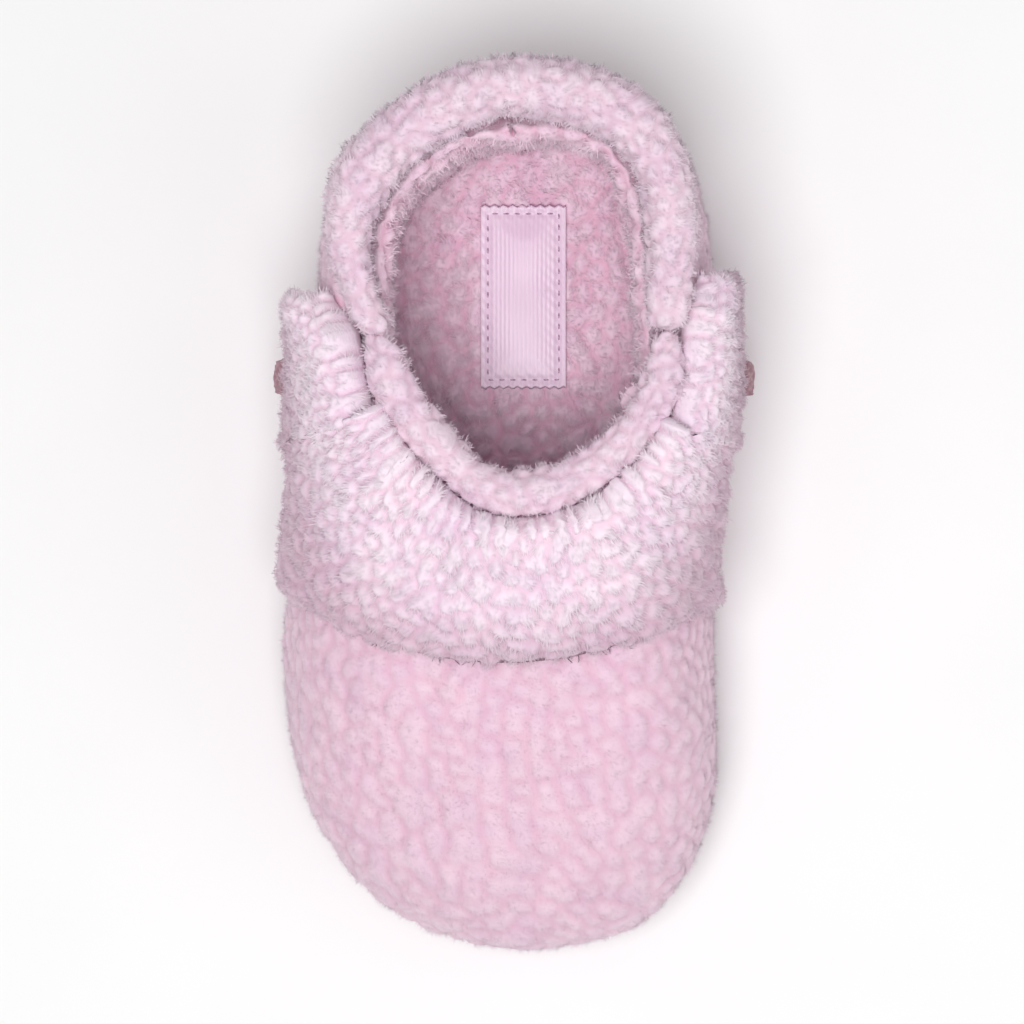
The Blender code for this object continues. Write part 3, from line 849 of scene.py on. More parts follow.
def stitches(path, ups, pitch, length, radius, bow, sides=6, rings=5):
    """Separate stitches along a closed path, each bowed up in its middle and diving in at its ends."""
    steps = np.linalg.norm(np.roll(path, -1, axis=0) - path, axis=1)
    stations = np.concatenate(([0.0], np.cumsum(steps)))
    closed = np.vstack((path, path[:1]))
    closed_ups = np.vstack((ups, ups[:1]))
    count = int(stations[-1] / pitch)
    share = np.linspace(0.0, 1.0, rings)
    place = (np.arange(count)[:, None] * stations[-1] / count + share[None] * length).ravel()
    whole = stations[-1]
    centre = [np.interp(place, stations, closed[:, k], period=whole) for k in range(3)]
    up = unit(np.stack([np.interp(place, stations, closed_ups[:, k]) for k in range(3)], axis=1))
    centre = np.stack(centre, axis=1).reshape(count, rings, 3)
    up = up.reshape(count, rings, 3)
    run = np.gradient(centre, axis=1)
    across = unit(np.cross(run, up))
    centre = centre + (bow * (2.0 * np.sin(math.pi * share) - 1.0))[None, :, None] * up
    wide = radius * (STITCH_END + STITCH_SWELL * np.sin(math.pi * share))[None, :, None]
    points = []
    for corner in range(sides):
        turn = 2.0 * math.pi * corner / sides
        points.append(centre + wide * (math.cos(turn) * across + math.sin(turn) * up))
    rows = np.stack(points, axis=2).reshape(count, rings * sides, 3)
    points = np.concatenate((rows, centre[:, :1], centre[:, -1:]), axis=1)
    quads = []
    tris = []
    for corner in range(sides):
        after = (corner + 1) % sides
        last = (rings - 1) * sides
        tris += [(after, corner, rings * sides), (last + corner, last + after, rings * sides + 1)]
        for ring in range(rings - 1):
            low = ring * sides
            quads.append((low + corner, low + after, low + sides + after, low + sides + corner))
    size = rings * sides + 2
    first = size * np.arange(count)[:, None, None]
    return Form(
        points.reshape(-1, 3),
        (first + np.array(quads)[None]).reshape(-1, 4),
        (first + np.array(tris)[None]).reshape(-1, 3),
        np.zeros(count * size),
    )


def refined(node, voxel, ease=4):
    """A CAD node's own shape, remade from even squares voxel wide. The node isn't touched."""
    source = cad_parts[node]
    source.data.calc_loop_triangles()
    points = np.array([source.matrix_world @ vertex.co for vertex in source.data.vertices]) / MM
    tris = np.array([triangle.vertices for triangle in source.data.loop_triangles])
    scratch = mesh_object("refined_scratch", points * SIM_SCALE, np.zeros((0, 4), int), tris)
    weld = scratch.modifiers.new("weld", "WELD")
    weld.merge_threshold = WELD_GAP * SIM_SCALE * MM
    remesh = scratch.modifiers.new("even", "REMESH")
    remesh.mode = "VOXEL"
    remesh.voxel_size = voxel * SIM_SCALE * MM
    smoother = scratch.modifiers.new("ease", "SMOOTH")
    smoother.iterations = ease
    smoother.factor = 0.5
    apply_modifiers(scratch)
    return taken(scratch)


def taken(scratch):
    """Turn a scratch object made of squares back into a form, and remove it."""
    points = read_points(scratch) / SIM_SCALE
    corners = np.empty(len(scratch.data.loops), np.int32)
    scratch.data.loops.foreach_get("vertex_index", corners)
    bpy.data.objects.remove(scratch)
    return Form(points, corners.reshape(-1, 4), np.zeros((0, 3)), np.zeros(len(points)))


def outward_share(form):
    """How far each point of a form faces away from the ankle's centre, from -1 to 1."""
    outward = unit(form.points[:, :2] - CENTRE)
    return np.einsum("ij,ij->i", form.normals()[:, :2], outward)


def form_object(name, form, look):
    """Make a form an object as it is, without fleece."""
    made = mesh_object(name, form.points, form.quads, form.tris, form.normals())
    made.data.materials.append(look)
    return made


# ---------------------------------------------------------------------------
# Padding by cloth simulation
# ---------------------------------------------------------------------------
SIM_STEPS = 20
PADDING = {
    "use_pressure": True,
    "mass": 0.15,
    "quality": 5,
    "tension_stiffness": 12.0,
    "compression_stiffness": 12.0,
    "bending_stiffness": 0.5,
}


def puff(form, voxel, pressure, cap, levels=2):
    """Blow a closed form up like a stuffed roll, then smooth it. No point moves further than cap."""
    scratch = mesh_object("puff_scratch", form.points * SIM_SCALE, form.quads, form.tris)
    remesh = scratch.modifiers.new("even", "REMESH")
    remesh.mode = "VOXEL"
    remesh.voxel_size = voxel * SIM_SCALE * MM
    apply_modifiers(scratch)
    rest = read_points(scratch)
    cloth = scratch.modifiers.new("padding", "CLOTH")
    for key, value in PADDING.items():
        setattr(cloth.settings, key, value)
    cloth.settings.uniform_pressure_force = pressure
    cloth.settings.effector_weights.gravity = 0.0
    for step in range(SIM_STEPS):
        bpy.context.scene.frame_set(step + 1)
    apply_modifiers(scratch)
    bpy.context.scene.frame_set(1)
    moved = read_points(scratch) - rest
    reach = np.linalg.norm(moved, axis=1, keepdims=True)
    moved *= np.minimum(1.0, cap * SIM_SCALE / np.maximum(reach, 1e-9))
    scratch.data.vertices.foreach_set("co", ((rest + moved) * MM).astype(np.float32).ravel())
    smoother = scratch.modifiers.new("fine", "SUBSURF")
    smoother.levels = levels
    smoother.render_levels = levels
    apply_modifiers(scratch)
    form = taken(scratch)
    form.pile = np.ones(len(form.points))
    return form


def apply_modifiers(item):
    """Replace an object's mesh by what its modifiers make of it."""
    bpy.context.view_layer.update()
    graph = bpy.context.evaluated_depsgraph_get()
    made = bpy.data.meshes.new_from_object(item.evaluated_get(graph))
    old = item.data
    item.modifiers.clear()
    item.data = made
    bpy.data.meshes.remove(old)


def read_points(item):
    """An object's points in millimetres."""
    points = np.empty(len(item.data.vertices) * 3, np.float32)
    item.data.vertices.foreach_get("co", points)
    return points.reshape(-1, 3).astype(float) / MM


# ---------------------------------------------------------------------------
# Materials
# ---------------------------------------------------------------------------
class Look:
    """A material under construction, with short names for the nodes it needs."""

    def __init__(self, name, roughness, sheen=0.0, specular=0.25):
        self.material = bpy.data.materials.new(name)
        self.material.use_nodes = True
        self.tree = self.material.node_tree
        self.shader = self.tree.nodes["Principled BSDF"]
        self.shader.inputs["Roughness"].default_value = roughness
        self.shader.inputs["Sheen Weight"].default_value = sheen
        self.shader.inputs["Sheen Roughness"].default_value = 0.6
        self.shader.inputs["Specular IOR Level"].default_value = specular
        self.place = self.tree.nodes.new("ShaderNodeTexCoord").outputs["Object"]

    def node(self, kind, **settings):
        made = self.tree.nodes.new("ShaderNode" + kind)
        for key, value in settings.items():
            setattr(made, key, value)
        return made

    def link(self, source, target):
        self.tree.links.new(source, target)

    def feed(self, value, target):
        """Link a node's output to a socket, or set the socket to a colour or a number."""
        if isinstance(value, bpy.types.NodeSocket):
            self.link(value, target)
        elif hasattr(value, "__len__"):
            target.default_value = (*value, 1.0)
        else:
            target.default_value = value

    def noise(self, size, detail=2.0, rough=0.55):
        """Noise whose features are about size millimetres across."""
        made = self.node("TexNoise")
        made.inputs["Scale"].default_value = 1.0 / (size * MM)
        made.inputs["Detail"].default_value = detail
        made.inputs["Roughness"].default_value = rough
        self.link(self.place, made.inputs["Vector"])
        return made.outputs["Fac"]

    def bands(self, direction, scale, distortion, detail=2.0):
        """Stripes across a direction."""
        made = self.node("TexWave", wave_type="BANDS", bands_direction=direction)
        made.inputs["Scale"].default_value = scale
        made.inputs["Distortion"].default_value = distortion
        made.inputs["Detail"].default_value = detail
        self.link(self.place, made.inputs["Vector"])
        return made.outputs["Fac"]

    def attribute(self, name):
        """A number that the mesh holds at each point."""
        return self.node("Attribute", attribute_name=name).outputs["Fac"]

    def ramp(self, source, stops):
        """Colours or greys at places between 0 and 1."""
        made = self.node("ValToRGB")
        ramp = made.color_ramp
        while len(ramp.elements) < len(stops):
            ramp.elements.new(0.5)
        for element, (place, colour) in zip(ramp.elements, stops):
            element.position = place
            grey = not hasattr(colour, "__len__")
            element.color = (colour, colour, colour, 1.0) if grey else (*colour, 1.0)
        self.link(source, made.inputs["Fac"])
        return made.outputs["Color"]

    def mix(self, share, first, second, mode="MIX"):
        """Two colours mixed, or multiplied, by a share."""
        made = self.node("Mix", data_type="RGBA", blend_type=mode)
        # The mix node's sockets for colours come after those for numbers and vectors.
        for value, socket in ((share, 0), (first, 6), (second, 7)):
            self.feed(value, made.inputs[socket])
        return made.outputs[2]

    def product(self, first, second):
        """Two values multiplied."""
        made = self.node("Math", operation="MULTIPLY")
        self.link(first, made.inputs[0])
        self.link(second, made.inputs[1])
        return made.outputs[0]

    def finished(self, colour, rough=None, bump=None):
        """The material, from its colour, (source, low, high) roughness and (source, height, strength)
        bump, whose full range is height millimetres."""
        self.link(colour, self.shader.inputs["Base Color"])
        if rough:
            source, low, high = rough
            levels = self.ramp(source, ((0.3, low), (0.7, high)))
            self.link(levels, self.shader.inputs["Roughness"])
        if bump:
            source, height, strength = bump
            made = self.node("Bump")
            made.inputs["Strength"].default_value = strength
            made.inputs["Distance"].default_value = height * MM
            self.link(source, made.inputs["Height"])
            self.link(made.outputs["Normal"], self.shader.inputs["Normal"])
        return self.material


def srgb(red, green, blue):
    """A colour given in 0 to 255, as the shaders' linear values."""
    return tuple(((c / 255.0 + 0.055) / 1.055) ** 2.4 for c in (red, green, blue))


# A band texture's scale for stripes that are one unit of length apart.
WAVES_PER_UNIT = 0.314
YARN_PITCH = 0.7
FOAM_CELL = 0.9


def fleece_look(name, crease, middle, tip, blotch, blotch_size=7.0, painted_shade=None):
    """Fleece with painted shade in its creases and painted light at its tips, with slow drifts between two
    dyes.

    A fleece given a painted shade tint darkens towards that tint further down and out."""
    look = Look(name, 0.92, sheen=0.35, specular=0.12)
    base = look.ramp(look.attribute("tone"), ((0.05, crease), (0.45, middle), (0.95, tip)))
    drift = look.ramp(look.noise(blotch_size, 3.0), ((0.38, 0.0), (0.66, 1.0)))
    coloured = look.mix(drift, base, look.mix(0.6, base, blotch, "MULTIPLY"))
    curls = look.ramp(look.attribute("hue"), ((0.0, 0.93), (1.0, 1.0)))
    coloured = look.mix(0.8, coloured, curls, "MULTIPLY")
    # Painted shade: further down and out the fleece turns towards the tint, where the cloth turns away from
    # the light.
    if painted_shade:
        painted_shade_mask = look.ramp(look.attribute("painted_shade_fall"), ((0.22, 0.0), (0.45, 1.0)))
        coloured = look.mix(painted_shade_mask, coloured, look.mix(1.0, coloured, painted_shade, "MULTIPLY"))
    fine = look.noise(0.35, 3.0, 0.6)
    return look.finished(coloured, (fine, 0.85, 0.98), (fine, 0.12, 0.5))


def satin_look():
    """Satin ribbon: fine ribs along it, and a soft shine across them."""
    look = Look("label_satin", 0.4, sheen=0.15, specular=0.5)
    look.shader.inputs["Anisotropic"].default_value = 0.4
    ribs = look.bands("X", 520.0, 0.6, 1.0)
    cloudy = look.noise(6.0, 2.0)
    base = look.ramp(cloudy, ((0.3, srgb(250, 224, 246)), (0.7, srgb(254, 232, 250))))
    coloured = look.mix(0.8, base, look.ramp(ribs, ((0.2, 0.93), (0.8, 1.0))), "MULTIPLY")
    return look.finished(coloured, (cloudy, 0.34, 0.46), (ribs, 0.05, 0.6))


def thread_look(name, dark, light):
    """Spun thread with the twist of its plies."""
    look = Look(name, 0.7, sheen=0.2)
    twist = look.bands("DIAGONAL", 900.0, 2.0)
    coloured = look.ramp(twist, ((0.15, dark), (0.75, light)))
    return look.finished(coloured, (look.noise(0.5), 0.6, 0.8), (twist, 0.05, 0.5))


def webbing_look():
    """Rose tape woven from two crossed sets of yarns."""
    look = Look("rose_webbing", 0.8, sheen=0.3)
    scale = WAVES_PER_UNIT / (YARN_PITCH * MM)
    yarns = look.product(look.bands("Y", scale, 0.3), look.bands("Z", scale, 0.3))
    base = look.ramp(look.noise(3.0, 3.0), ((0.3, srgb(170, 122, 136)), (0.7, srgb(190, 146, 158))))
    coloured = look.mix(0.7, base, look.ramp(yarns, ((0.0, 0.7), (0.6, 1.0))), "MULTIPLY")
    return look.finished(coloured, (yarns, 0.7, 0.9), (yarns, 0.12, 0.7))


def pile_strip_look(name, colour, roughness):
    """Hook or loop tape, with its backing's colour drifting."""
    look = Look(name, roughness, sheen=0.25)
    cloudy = look.noise(1.2, 3.0)
    light = tuple(min(1.0, c * 1.25) for c in colour)
    coloured = look.ramp(cloudy, ((0.3, colour), (0.7, light)))
    return look.finished(coloured, (cloudy, roughness - 0.08, roughness), (look.noise(0.25, 2.0), 0.1, 0.6))


def sole_look():
    """Brushed sole cloth, rubbed paler in patches."""
    look = Look("sole_cloth", 0.9, sheen=0.3, specular=0.2)
    fine = look.noise(0.5, 4.0, 0.65)
    worn = look.ramp(look.noise(14.0, 3.0), ((0.45, 0.0), (0.7, 0.5)))
    base = look.ramp(fine, ((0.3, srgb(206, 160, 178)), (0.7, srgb(222, 182, 198))))
    coloured = look.mix(worn, base, srgb(232, 202, 214))
    return look.finished(coloured, (fine, 0.82, 0.96), (fine, 0.15, 0.6))


def grip_look():
    """Soft grip rubber with a faint mould texture."""
    look = Look("grip_rubber", 0.5, specular=0.4)
    coloured = look.ramp(look.noise(5.0, 3.0), ((0.3, srgb(224, 190, 204)), (0.7, srgb(232, 202, 214))))
    return look.finished(coloured, (look.noise(0.8, 3.0), 0.42, 0.6), (look.noise(0.3, 2.0), 0.04, 0.5))


def foam_look():
    """Open-cell foam."""
    look = Look("midsole_foam", 0.9, specular=0.15)
    pores = look.node("TexVoronoi")
    pores.inputs["Scale"].default_value = 1.0 / (FOAM_CELL * MM)
    look.link(look.place, pores.inputs["Vector"])
    cells = pores.outputs["Distance"]
    coloured = look.ramp(cells, ((0.1, srgb(216, 212, 198)), (0.6, srgb(240, 238, 230))))
    return look.finished(coloured, (cells, 0.85, 0.95), (cells, 0.3, 0.7))


def make_looks():
    """Every material but the floor's, by the name that the pieces ask for."""
    return {
        # The cuff's painted shade tint greys its lower edge.
        "cuff": fleece_look(
            "cuff_fleece", srgb(242, 210, 227), srgb(250, 230, 243), srgb(255, 243, 251),
            blotch=srgb(246, 238, 248), painted_shade=srgb(226, 213, 218)),
        "collar": fleece_look(
            "collar_fleece", srgb(232, 200, 216), srgb(241, 217, 231), srgb(246, 227, 239),
            blotch=srgb(244, 234, 246)),
        "toe": fleece_look(
            "toe_fleece", srgb(234, 191, 210), srgb(240, 207, 223), srgb(244, 216, 231),
            blotch=srgb(244, 238, 248), blotch_size=5.0),
        # The lining's pinker fleece, painted paler as painted light to make up for the shade inside the
        # bootie.
        "lining": fleece_look(
            "lining_fleece", srgb(243, 198, 218), srgb(254, 224, 240), srgb(255, 232, 245),
            blotch=srgb(246, 233, 243), blotch_size=5.0),
        "satin": satin_look(),
        "label_thread": thread_look("label_thread", srgb(178, 142, 170), srgb(214, 184, 208)),
        "sole_thread": thread_look("sole_thread", srgb(212, 170, 190), srgb(234, 200, 217)),
        "rose": webbing_look(),
        "loop": pile_strip_look("loop_strip", srgb(176, 128, 142), 0.95),
        "hook": pile_strip_look("hook_strip", srgb(168, 122, 136), 0.55),
        "sole": sole_look(),
        "grip": grip_look(),
        "foam": foam_look(),
    }


# ---------------------------------------------------------------------------
# The pieces
# ---------------------------------------------------------------------------
PEBBLED = Fleece(
    curl=2.5, dome=0.5, density=4.6, length=0.95, radius=0.04, lift=0.5, lay=0.0,
    gather=0.1, kink=0.0, join=0.6, swirl=0.8, bends=0
)
CUFF_PILE = Fleece(
    curl=1.55, dome=0.65, density=3.8, length=1.4, radius=0.055, lift=0.2, lay=0.7,
    gather=0.3, kink=0.22, stretch=1.7, lean=0.6, wave=0.9, wave_size=8.0, swirl=0.4
)
TAB_PILE = Fleece(
    curl=1.7, dome=0.5, density=4.4, length=1.3, radius=0.055, lift=0.2, lay=0.5,
    gather=0.25, kink=0.22, stretch=1.25, lean=0.4, wave=0.6, wave_size=8.0, swirl=0.6
)
COLLAR_PILE = Fleece(
    curl=2.1, dome=0.42, density=4.4, length=1.1, radius=0.052, lift=0.26, lay=0.2,
    gather=0.2, kink=0.25, lean=0.2, swirl=0.5
)
LINING_PILE = Fleece(
    curl=2.4, dome=0.9, density=2.6, length=1.1, radius=0.07, lift=0.3, lay=0.1, gather=0.2,
    kink=0.3, wave=0.4, swirl=0.5
)
INSOLE_PILE = Fleece(
    curl=2.2, dome=0.75, density=5.0, length=1.3, radius=0.06, lift=0.4, lay=0.0,
    gather=0.2, kink=0.3, wave=0.4, swirl=0.5
)
SOLE_NAP = Fleece(
    curl=1.8, dome=0.12, density=0.7, length=0.8, radius=0.05, lift=0.15, lay=0.0,
    gather=0.0, kink=0.3, wave=0.1, swirl=0.3
)
LOOP_NAP = Fleece(
    curl=1.0, dome=0.15, density=8.0, length=0.8, radius=0.035, lift=0.35, lay=0.0,
    gather=0.0, kink=0.8, wave=0.0, swirl=0.6
)
HOOK_NAP = Fleece(
    curl=1.0, dome=0.0, density=3.5, length=0.45, radius=0.06, lift=1.0, lay=0.0,
    gather=0.0, kink=0.6, wave=0.0
)


def foot_bottom(angle):
    """The walls' lower edge, a millimetre below where their rise starts."""
    return np.full_like(angle, -1.0)


def seam_below(angle):
    """The upper edge of the walls, under the throat seam."""
    return throat_seam(angle) - SEAM_RISE


def seam_above(angle):
    """The lower edge of the instep panel, over the throat seam."""
    return throat_seam(angle) + SEAM_RISE


def wall_top(angle):
    """The walls' upper edge, which at the heel runs on up into its padded rim."""
    hidden = WALL_REACH * smooth((inner_angle(angle) - RING_JOIN) / WALL_RUN)
    return seam_below(angle) + hidden


def panel_top(angle):
    """The upper edge of the instep panel."""
    return rise_at(angle, flap_top(angle))


def cuff_top(angle):
    """The cuff's upper edge."""
    return np.full_like(angle, CUFF_TOP_RISE + CUFF_TOP_REACH)


def settle(piece, body, slot, node):
    """Hang a finished piece on its body, in the place of a CAD node."""
    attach(piece, body)
    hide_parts(node)


def grow(name, form, style, seed, look, *home):
    """A piece with fleece on it, at home on a body and in a CAD node's place; its slot is not used."""
    piece = fleece_object(name, form, style, seed, look)
    settle(piece, *home)
    return piece


def place(name, form, look, *home):
    """A piece without fleece, at home on a body and in a CAD node's place; its slot is not used."""
    piece = form_object(name, form, look)
    settle(piece, *home)
    return piece


# How deep the walls' rounded ends go, as a share of their thickness.
END_DEPTH = 0.6


def make_upper(looks):
    """The toe and the two heel quarters, each with an outer layer and a lining."""
    toe = (-180.0 - SIDE_SEAM + SEAM_HALF, SIDE_SEAM - SEAM_HALF)
    form = layer_form(toe, foot_bottom, seam_below, 0.0, -OUTER_DEPTH, 220, 124, edge=0.04,
                      ends=SEAM_ROUND, end_depth=END_DEPTH)
    grow("vamp_fleece", form, PEBBLED, 11, looks["toe"], "bootie", "toe_fleece", "vamp_outer")
    form = layer_form(toe, foot_bottom, seam_below, -LINING_TOP, -LINING_DEPTH, 70, 44, inwards=True)
    grow("vamp_lining_fleece", form, LINING_PILE, 12, looks["lining"],
         "bootie", "lining_fleece", "vamp_lining")
    for side_name, side in SIDES:
        span = (around(side, SIDE_SEAM + SEAM_HALF), around(side, 90.0 - SEAM_HALF))
        form = layer_form(span, foot_bottom, wall_top, 0.0, -OUTER_DEPTH, 130, 72, ends=SEAM_ROUND,
                          end_depth=END_DEPTH)
        grow("quarter_fleece_" + side_name, form, PEBBLED, 20 + side, looks["toe"],
             "bootie", "toe_fleece", "quarter_outer_" + side_name)
        form = layer_form(span, foot_bottom, wall_top, -LINING_TOP, -LINING_DEPTH, 110, 70, edge=0.22,
                          inwards=True, seat=0.2)
        grow("quarter_lining_fleece_" + side_name, form, LINING_PILE, 30 + side, looks["lining"],
             "bootie", "lining_fleece", "quarter_lining_" + side_name)


def make_rims(looks):
    """The stuffed rolls at the heel's rim and at the throat."""
    for side_name, side in SIDES:
        roll = roll_form(collar_stations(side, 30, inset=1.4), 20)
        form = puff(roll, voxel=1.5, pressure=4.0, cap=1.0)
        piece = grow("heel_collar_fleece_" + side_name, form, COLLAR_PILE, 40 + side, looks["collar"],
                     "bootie", "cuff_fleece", "heel_collar_" + side_name)
    roll = roll_form(lip_stations(50, inset=1.0), 16)
    form = puff(roll, voxel=1.2, pressure=4.0, cap=0.8)
    piece = grow("throat_lip_fleece", form, COLLAR_PILE, 50, looks["collar"],
                 "front_flap", "cuff_fleece", "throat_lip")


def make_flap(looks):
    """The instep panel, its lining and the cuff in front."""
    span = (-180.0 - FLAP_END, FLAP_END)
    form = layer_form(span, seam_above, panel_top, 0.0, -OUTER_DEPTH, 120, 20, edge=0.15, ends=PANEL_ROUND)
    grow("instep_fleece", form, PEBBLED, 60, looks["toe"], "front_flap", "toe_fleece", "instep_panel")
    form = layer_form(span, seam_above, panel_top, -LINING_TOP, -LINING_DEPTH, 120, 22, edge=0.15,
                      inwards=True, ends=PANEL_ROUND)
    grow("instep_lining_fleece", form, LINING_PILE, 61, looks["lining"],
         "front_flap", "lining_fleece", "instep_lining")
    span = (-180.0 - TAB_START - TAB_OVERLAP, TAB_START + TAB_OVERLAP)
    form = layer_form(span, cuff_low, cuff_top, CUFF_OUTER, CUFF_INNER, 300, 96, edge=0.26, seat=0.12)
    piece = grow("cuff_fleece_front", form, CUFF_PILE, 70, looks["cuff"],
                 "front_flap", "cuff_fleece", "cuff_front")


# Where each tab's hinge starts, how far round it goes and its height.
HINGE_ANGLE = -22.0
HINGE_RUN = 14.0
HINGE_HEIGHT = 38.0


def hinge_place(side, run):
    """A point on the outside of a tab, run degrees past its hinge, in metres."""
    angle = np.array([around(side, HINGE_ANGLE + run)])
    rise = rise_at(angle, HINGE_HEIGHT)
    return tuple(float(c) * MM for c in on_skin(angle, rise, np.array([TAB_INNER]))[0])


def make_tabs(looks):
    """The cuff's two ends."""
    for side_name, side in SIDES:
        end = TAB_END[side_name]

        def end_round(angle, end=end):
            return TAB_CORNER * smooth(1.0 + (inner_angle(angle) - end) / TAB_CORNER_RUN)

        def low(angle):
            return rise_at(angle, CUFF_LOW_SIDE + end_round(angle))

        def high(angle):
            return rise_at(angle, TAB_TOP + TAB_TOP_REACH - end_round(angle))

        span = (around(side, TAB_START - TAB_OVERLAP), around(side, end))
        form = layer_form(span, low, high, TAB_THICK, 0.0, 120, 76, edge=0.22, place=on_tab,
                          seat=0.25, ends=(0.0, 0.09))
        piece = fleece_object("tab_fleece_" + side_name, form, TAB_PILE, 80 + side, looks["cuff"])
        bend = (hinge_place(side, 0.0), hinge_place(side, HINGE_RUN))
        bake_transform(piece)
        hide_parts("tab_" + side_name)


# The label's place and size in plan, and the heights of its back and face.
LABEL_CENTRE = np.array((1.5, 30.3))
LABEL_SIZE = np.array((12.0, 25.4))
LABEL_BACK = 9.9
LABEL_FACE = 10.5
# How far its stitches are from its edge, then their pitch, length, radius and bow.
LABEL_MARGIN = 1.0
LABEL_STITCH = (1.55, 0.85, 0.13, 0.1)
LABEL_PATH_POINTS = 600
# Its ends are cut in a zigzag, over the last shares of its length.
ZIGZAG_PITCH = 1.3
ZIGZAG_DEPTH = 0.35
ZIGZAG_START = 0.44
ZIGZAG_RUN = 0.06
# The height and reach of its swell, its dip along the stitches, the gathers between them and its waves.
SWELL = 0.4
SWELL_RUN = 4.0
DIP = 0.22
DIP_RUN = 0.45
GATHERS = 0.06
WAVES = 0.12
WAVE_SIZE = 5.0


def label_distance(points):
    """How far plan points are inside the label's edge, negative outside it."""
    return (LABEL_SIZE / 2.0 - np.abs(points - LABEL_CENTRE)).min(axis=-1)


def label_path(count):
    """The rectangle along which the label is stitched, as evenly spaced plan points."""
    half = LABEL_SIZE / 2.0 - LABEL_MARGIN
    corners = LABEL_CENTRE + half * np.array(((-1, -1), (1, -1), (1, 1), (-1, 1), (-1, -1)))
    stations = np.concatenate(([0.0], np.cumsum(np.linalg.norm(np.diff(corners, axis=0), axis=1))))
    places = stations[-1] * np.arange(count) / count
    return np.stack([np.interp(places, stations, corners[:, k]) for k in range(2)], axis=1)


def label_level(plan):
    """Height of the label's face over plan points."""
    inside = label_distance(plan)
    swell = SWELL * smooth((inside - LABEL_MARGIN) / SWELL_RUN)
    dip = DIP * np.exp(-(((inside - LABEL_MARGIN) / DIP_RUN) ** 2))
    stitch = 2.0 * math.pi * (plan[:, 0] + plan[:, 1]) / LABEL_STITCH[0]
    gathers = GATHERS * np.sin(stitch) * np.exp(-np.abs(inside - LABEL_MARGIN))
    waves = WAVES * rolling(np.column_stack((plan, np.zeros(len(plan)))), WAVE_SIZE)
    return LABEL_FACE + swell - dip + gathers + waves


def on_label(across, up, depth):
    """Points of the label from its shares of width and length, and 0 at its back or 1 at its face."""
    plan = LABEL_CENTRE + LABEL_SIZE * np.stack((across, up), axis=-1)
    teeth = np.abs((plan[..., 0] / ZIGZAG_PITCH) % 1.0 - 0.5) * 2.0
    plan[..., 1] += ZIGZAG_DEPTH * teeth * np.sign(up) * smooth((np.abs(up) - ZIGZAG_START) / ZIGZAG_RUN)
    face = label_level(plan.reshape(-1, 2)).reshape(up.shape)
    height = LABEL_BACK + (face - LABEL_BACK) * np.asarray(depth)
    return np.concatenate((plan, height[..., None]), axis=-1)


def label_end(across):
    """The label's ends are half its length from its middle."""
    return np.full_like(across, 0.5)


def make_label(looks):
    """The satin label on the insole, and the stitches that hold it."""
    form = layer_form((-0.5, 0.5), lambda across: -label_end(across), label_end, 1.0, 0.0, 90, 150,
                      back_rows=20, edge=0.01, place=on_label)
    piece = place("label_satin", form, looks["satin"], "bootie", "label_satin", "sock_label")
    path = label_path(LABEL_PATH_POINTS)
    path = np.column_stack((path, label_level(path) + 0.03))
    form = stitches(path, np.tile((0.0, 0.0, 1.0), (LABEL_PATH_POINTS, 1)), *LABEL_STITCH)
    place("label_stitches", form, looks["label_thread"], "bootie", "thread", "label_stitching")


# The insole's outline inside the sole's, its middle in plan and its heights.
SOCK_INSET = 9.2
SOCK_MIDDLE = np.array((-1.0, 8.0))
SOCK_BOTTOM = 6.5
SOCK_TOP = 9.4
# Its pile is thinner in the toe, which is out of sight, and pressed flat under the label.
TOE_HIDDEN = -22.0
TOE_RUN = 8.0
TOE_PILE = 0.3
PRESSED = 0.9
PRESS_REACH = 0.6


def make_insole(looks):
    """The fleece pad that the foot stands on."""
    form = pad_form(inset_outline(SOCK_INSET, 230), SOCK_MIDDLE, SOCK_BOTTOM, SOCK_TOP,
                    under_rows=8, top_rows=64, edge=0.7)
    top = smooth(form.points[:, 2] - SOCK_BOTTOM - 1.0)
    heelward = smooth((form.points[:, 1] - TOE_HIDDEN) / TOE_RUN)
    pressed = smooth(label_distance(form.points[:, :2]) + PRESS_REACH)
    form.pile = top * (TOE_PILE + (1.0 - TOE_PILE) * heelward) * (1.0 - PRESSED * pressed)
    piece = grow("insole_fleece", form, INSOLE_PILE, 90, looks["lining"],
                 "bootie", "lining_fleece", "insole_sock")


# The sole's seam: its inset and height, and its stitches' pitch, length, radius and bow.
SEAM_INSET = 1.3
SEAM_LEVEL = 2.2
SEAM_STITCH = (3.0, 2.5, 0.38, 0.2)
SEAM_POINTS = 900
FOAM_RELIEF = 0.15
FOAM_LUMP = 1.6
# The studs on the grips: how high they are, how far apart and their radius.
GRIP_RELIEF = 0.45
GRIP_PITCH = 2.6
GRIP_DOT = 0.85


def grip_dots(points):
    """1 on the grip's round studs and 0 between them, in rows set half a pitch apart."""
    row_gap = GRIP_PITCH * math.sqrt(3.0) / 2.0
    row = np.round(points[:, 1] / row_gap)
    shift = (row % 2.0) * GRIP_PITCH / 2.0
    column = np.round((points[:, 0] - shift) / GRIP_PITCH)
    gone = np.hypot(points[:, 0] - shift - column * GRIP_PITCH, points[:, 1] - row * row_gap)
    return smooth((GRIP_DOT + 0.2 - gone) / 0.4)


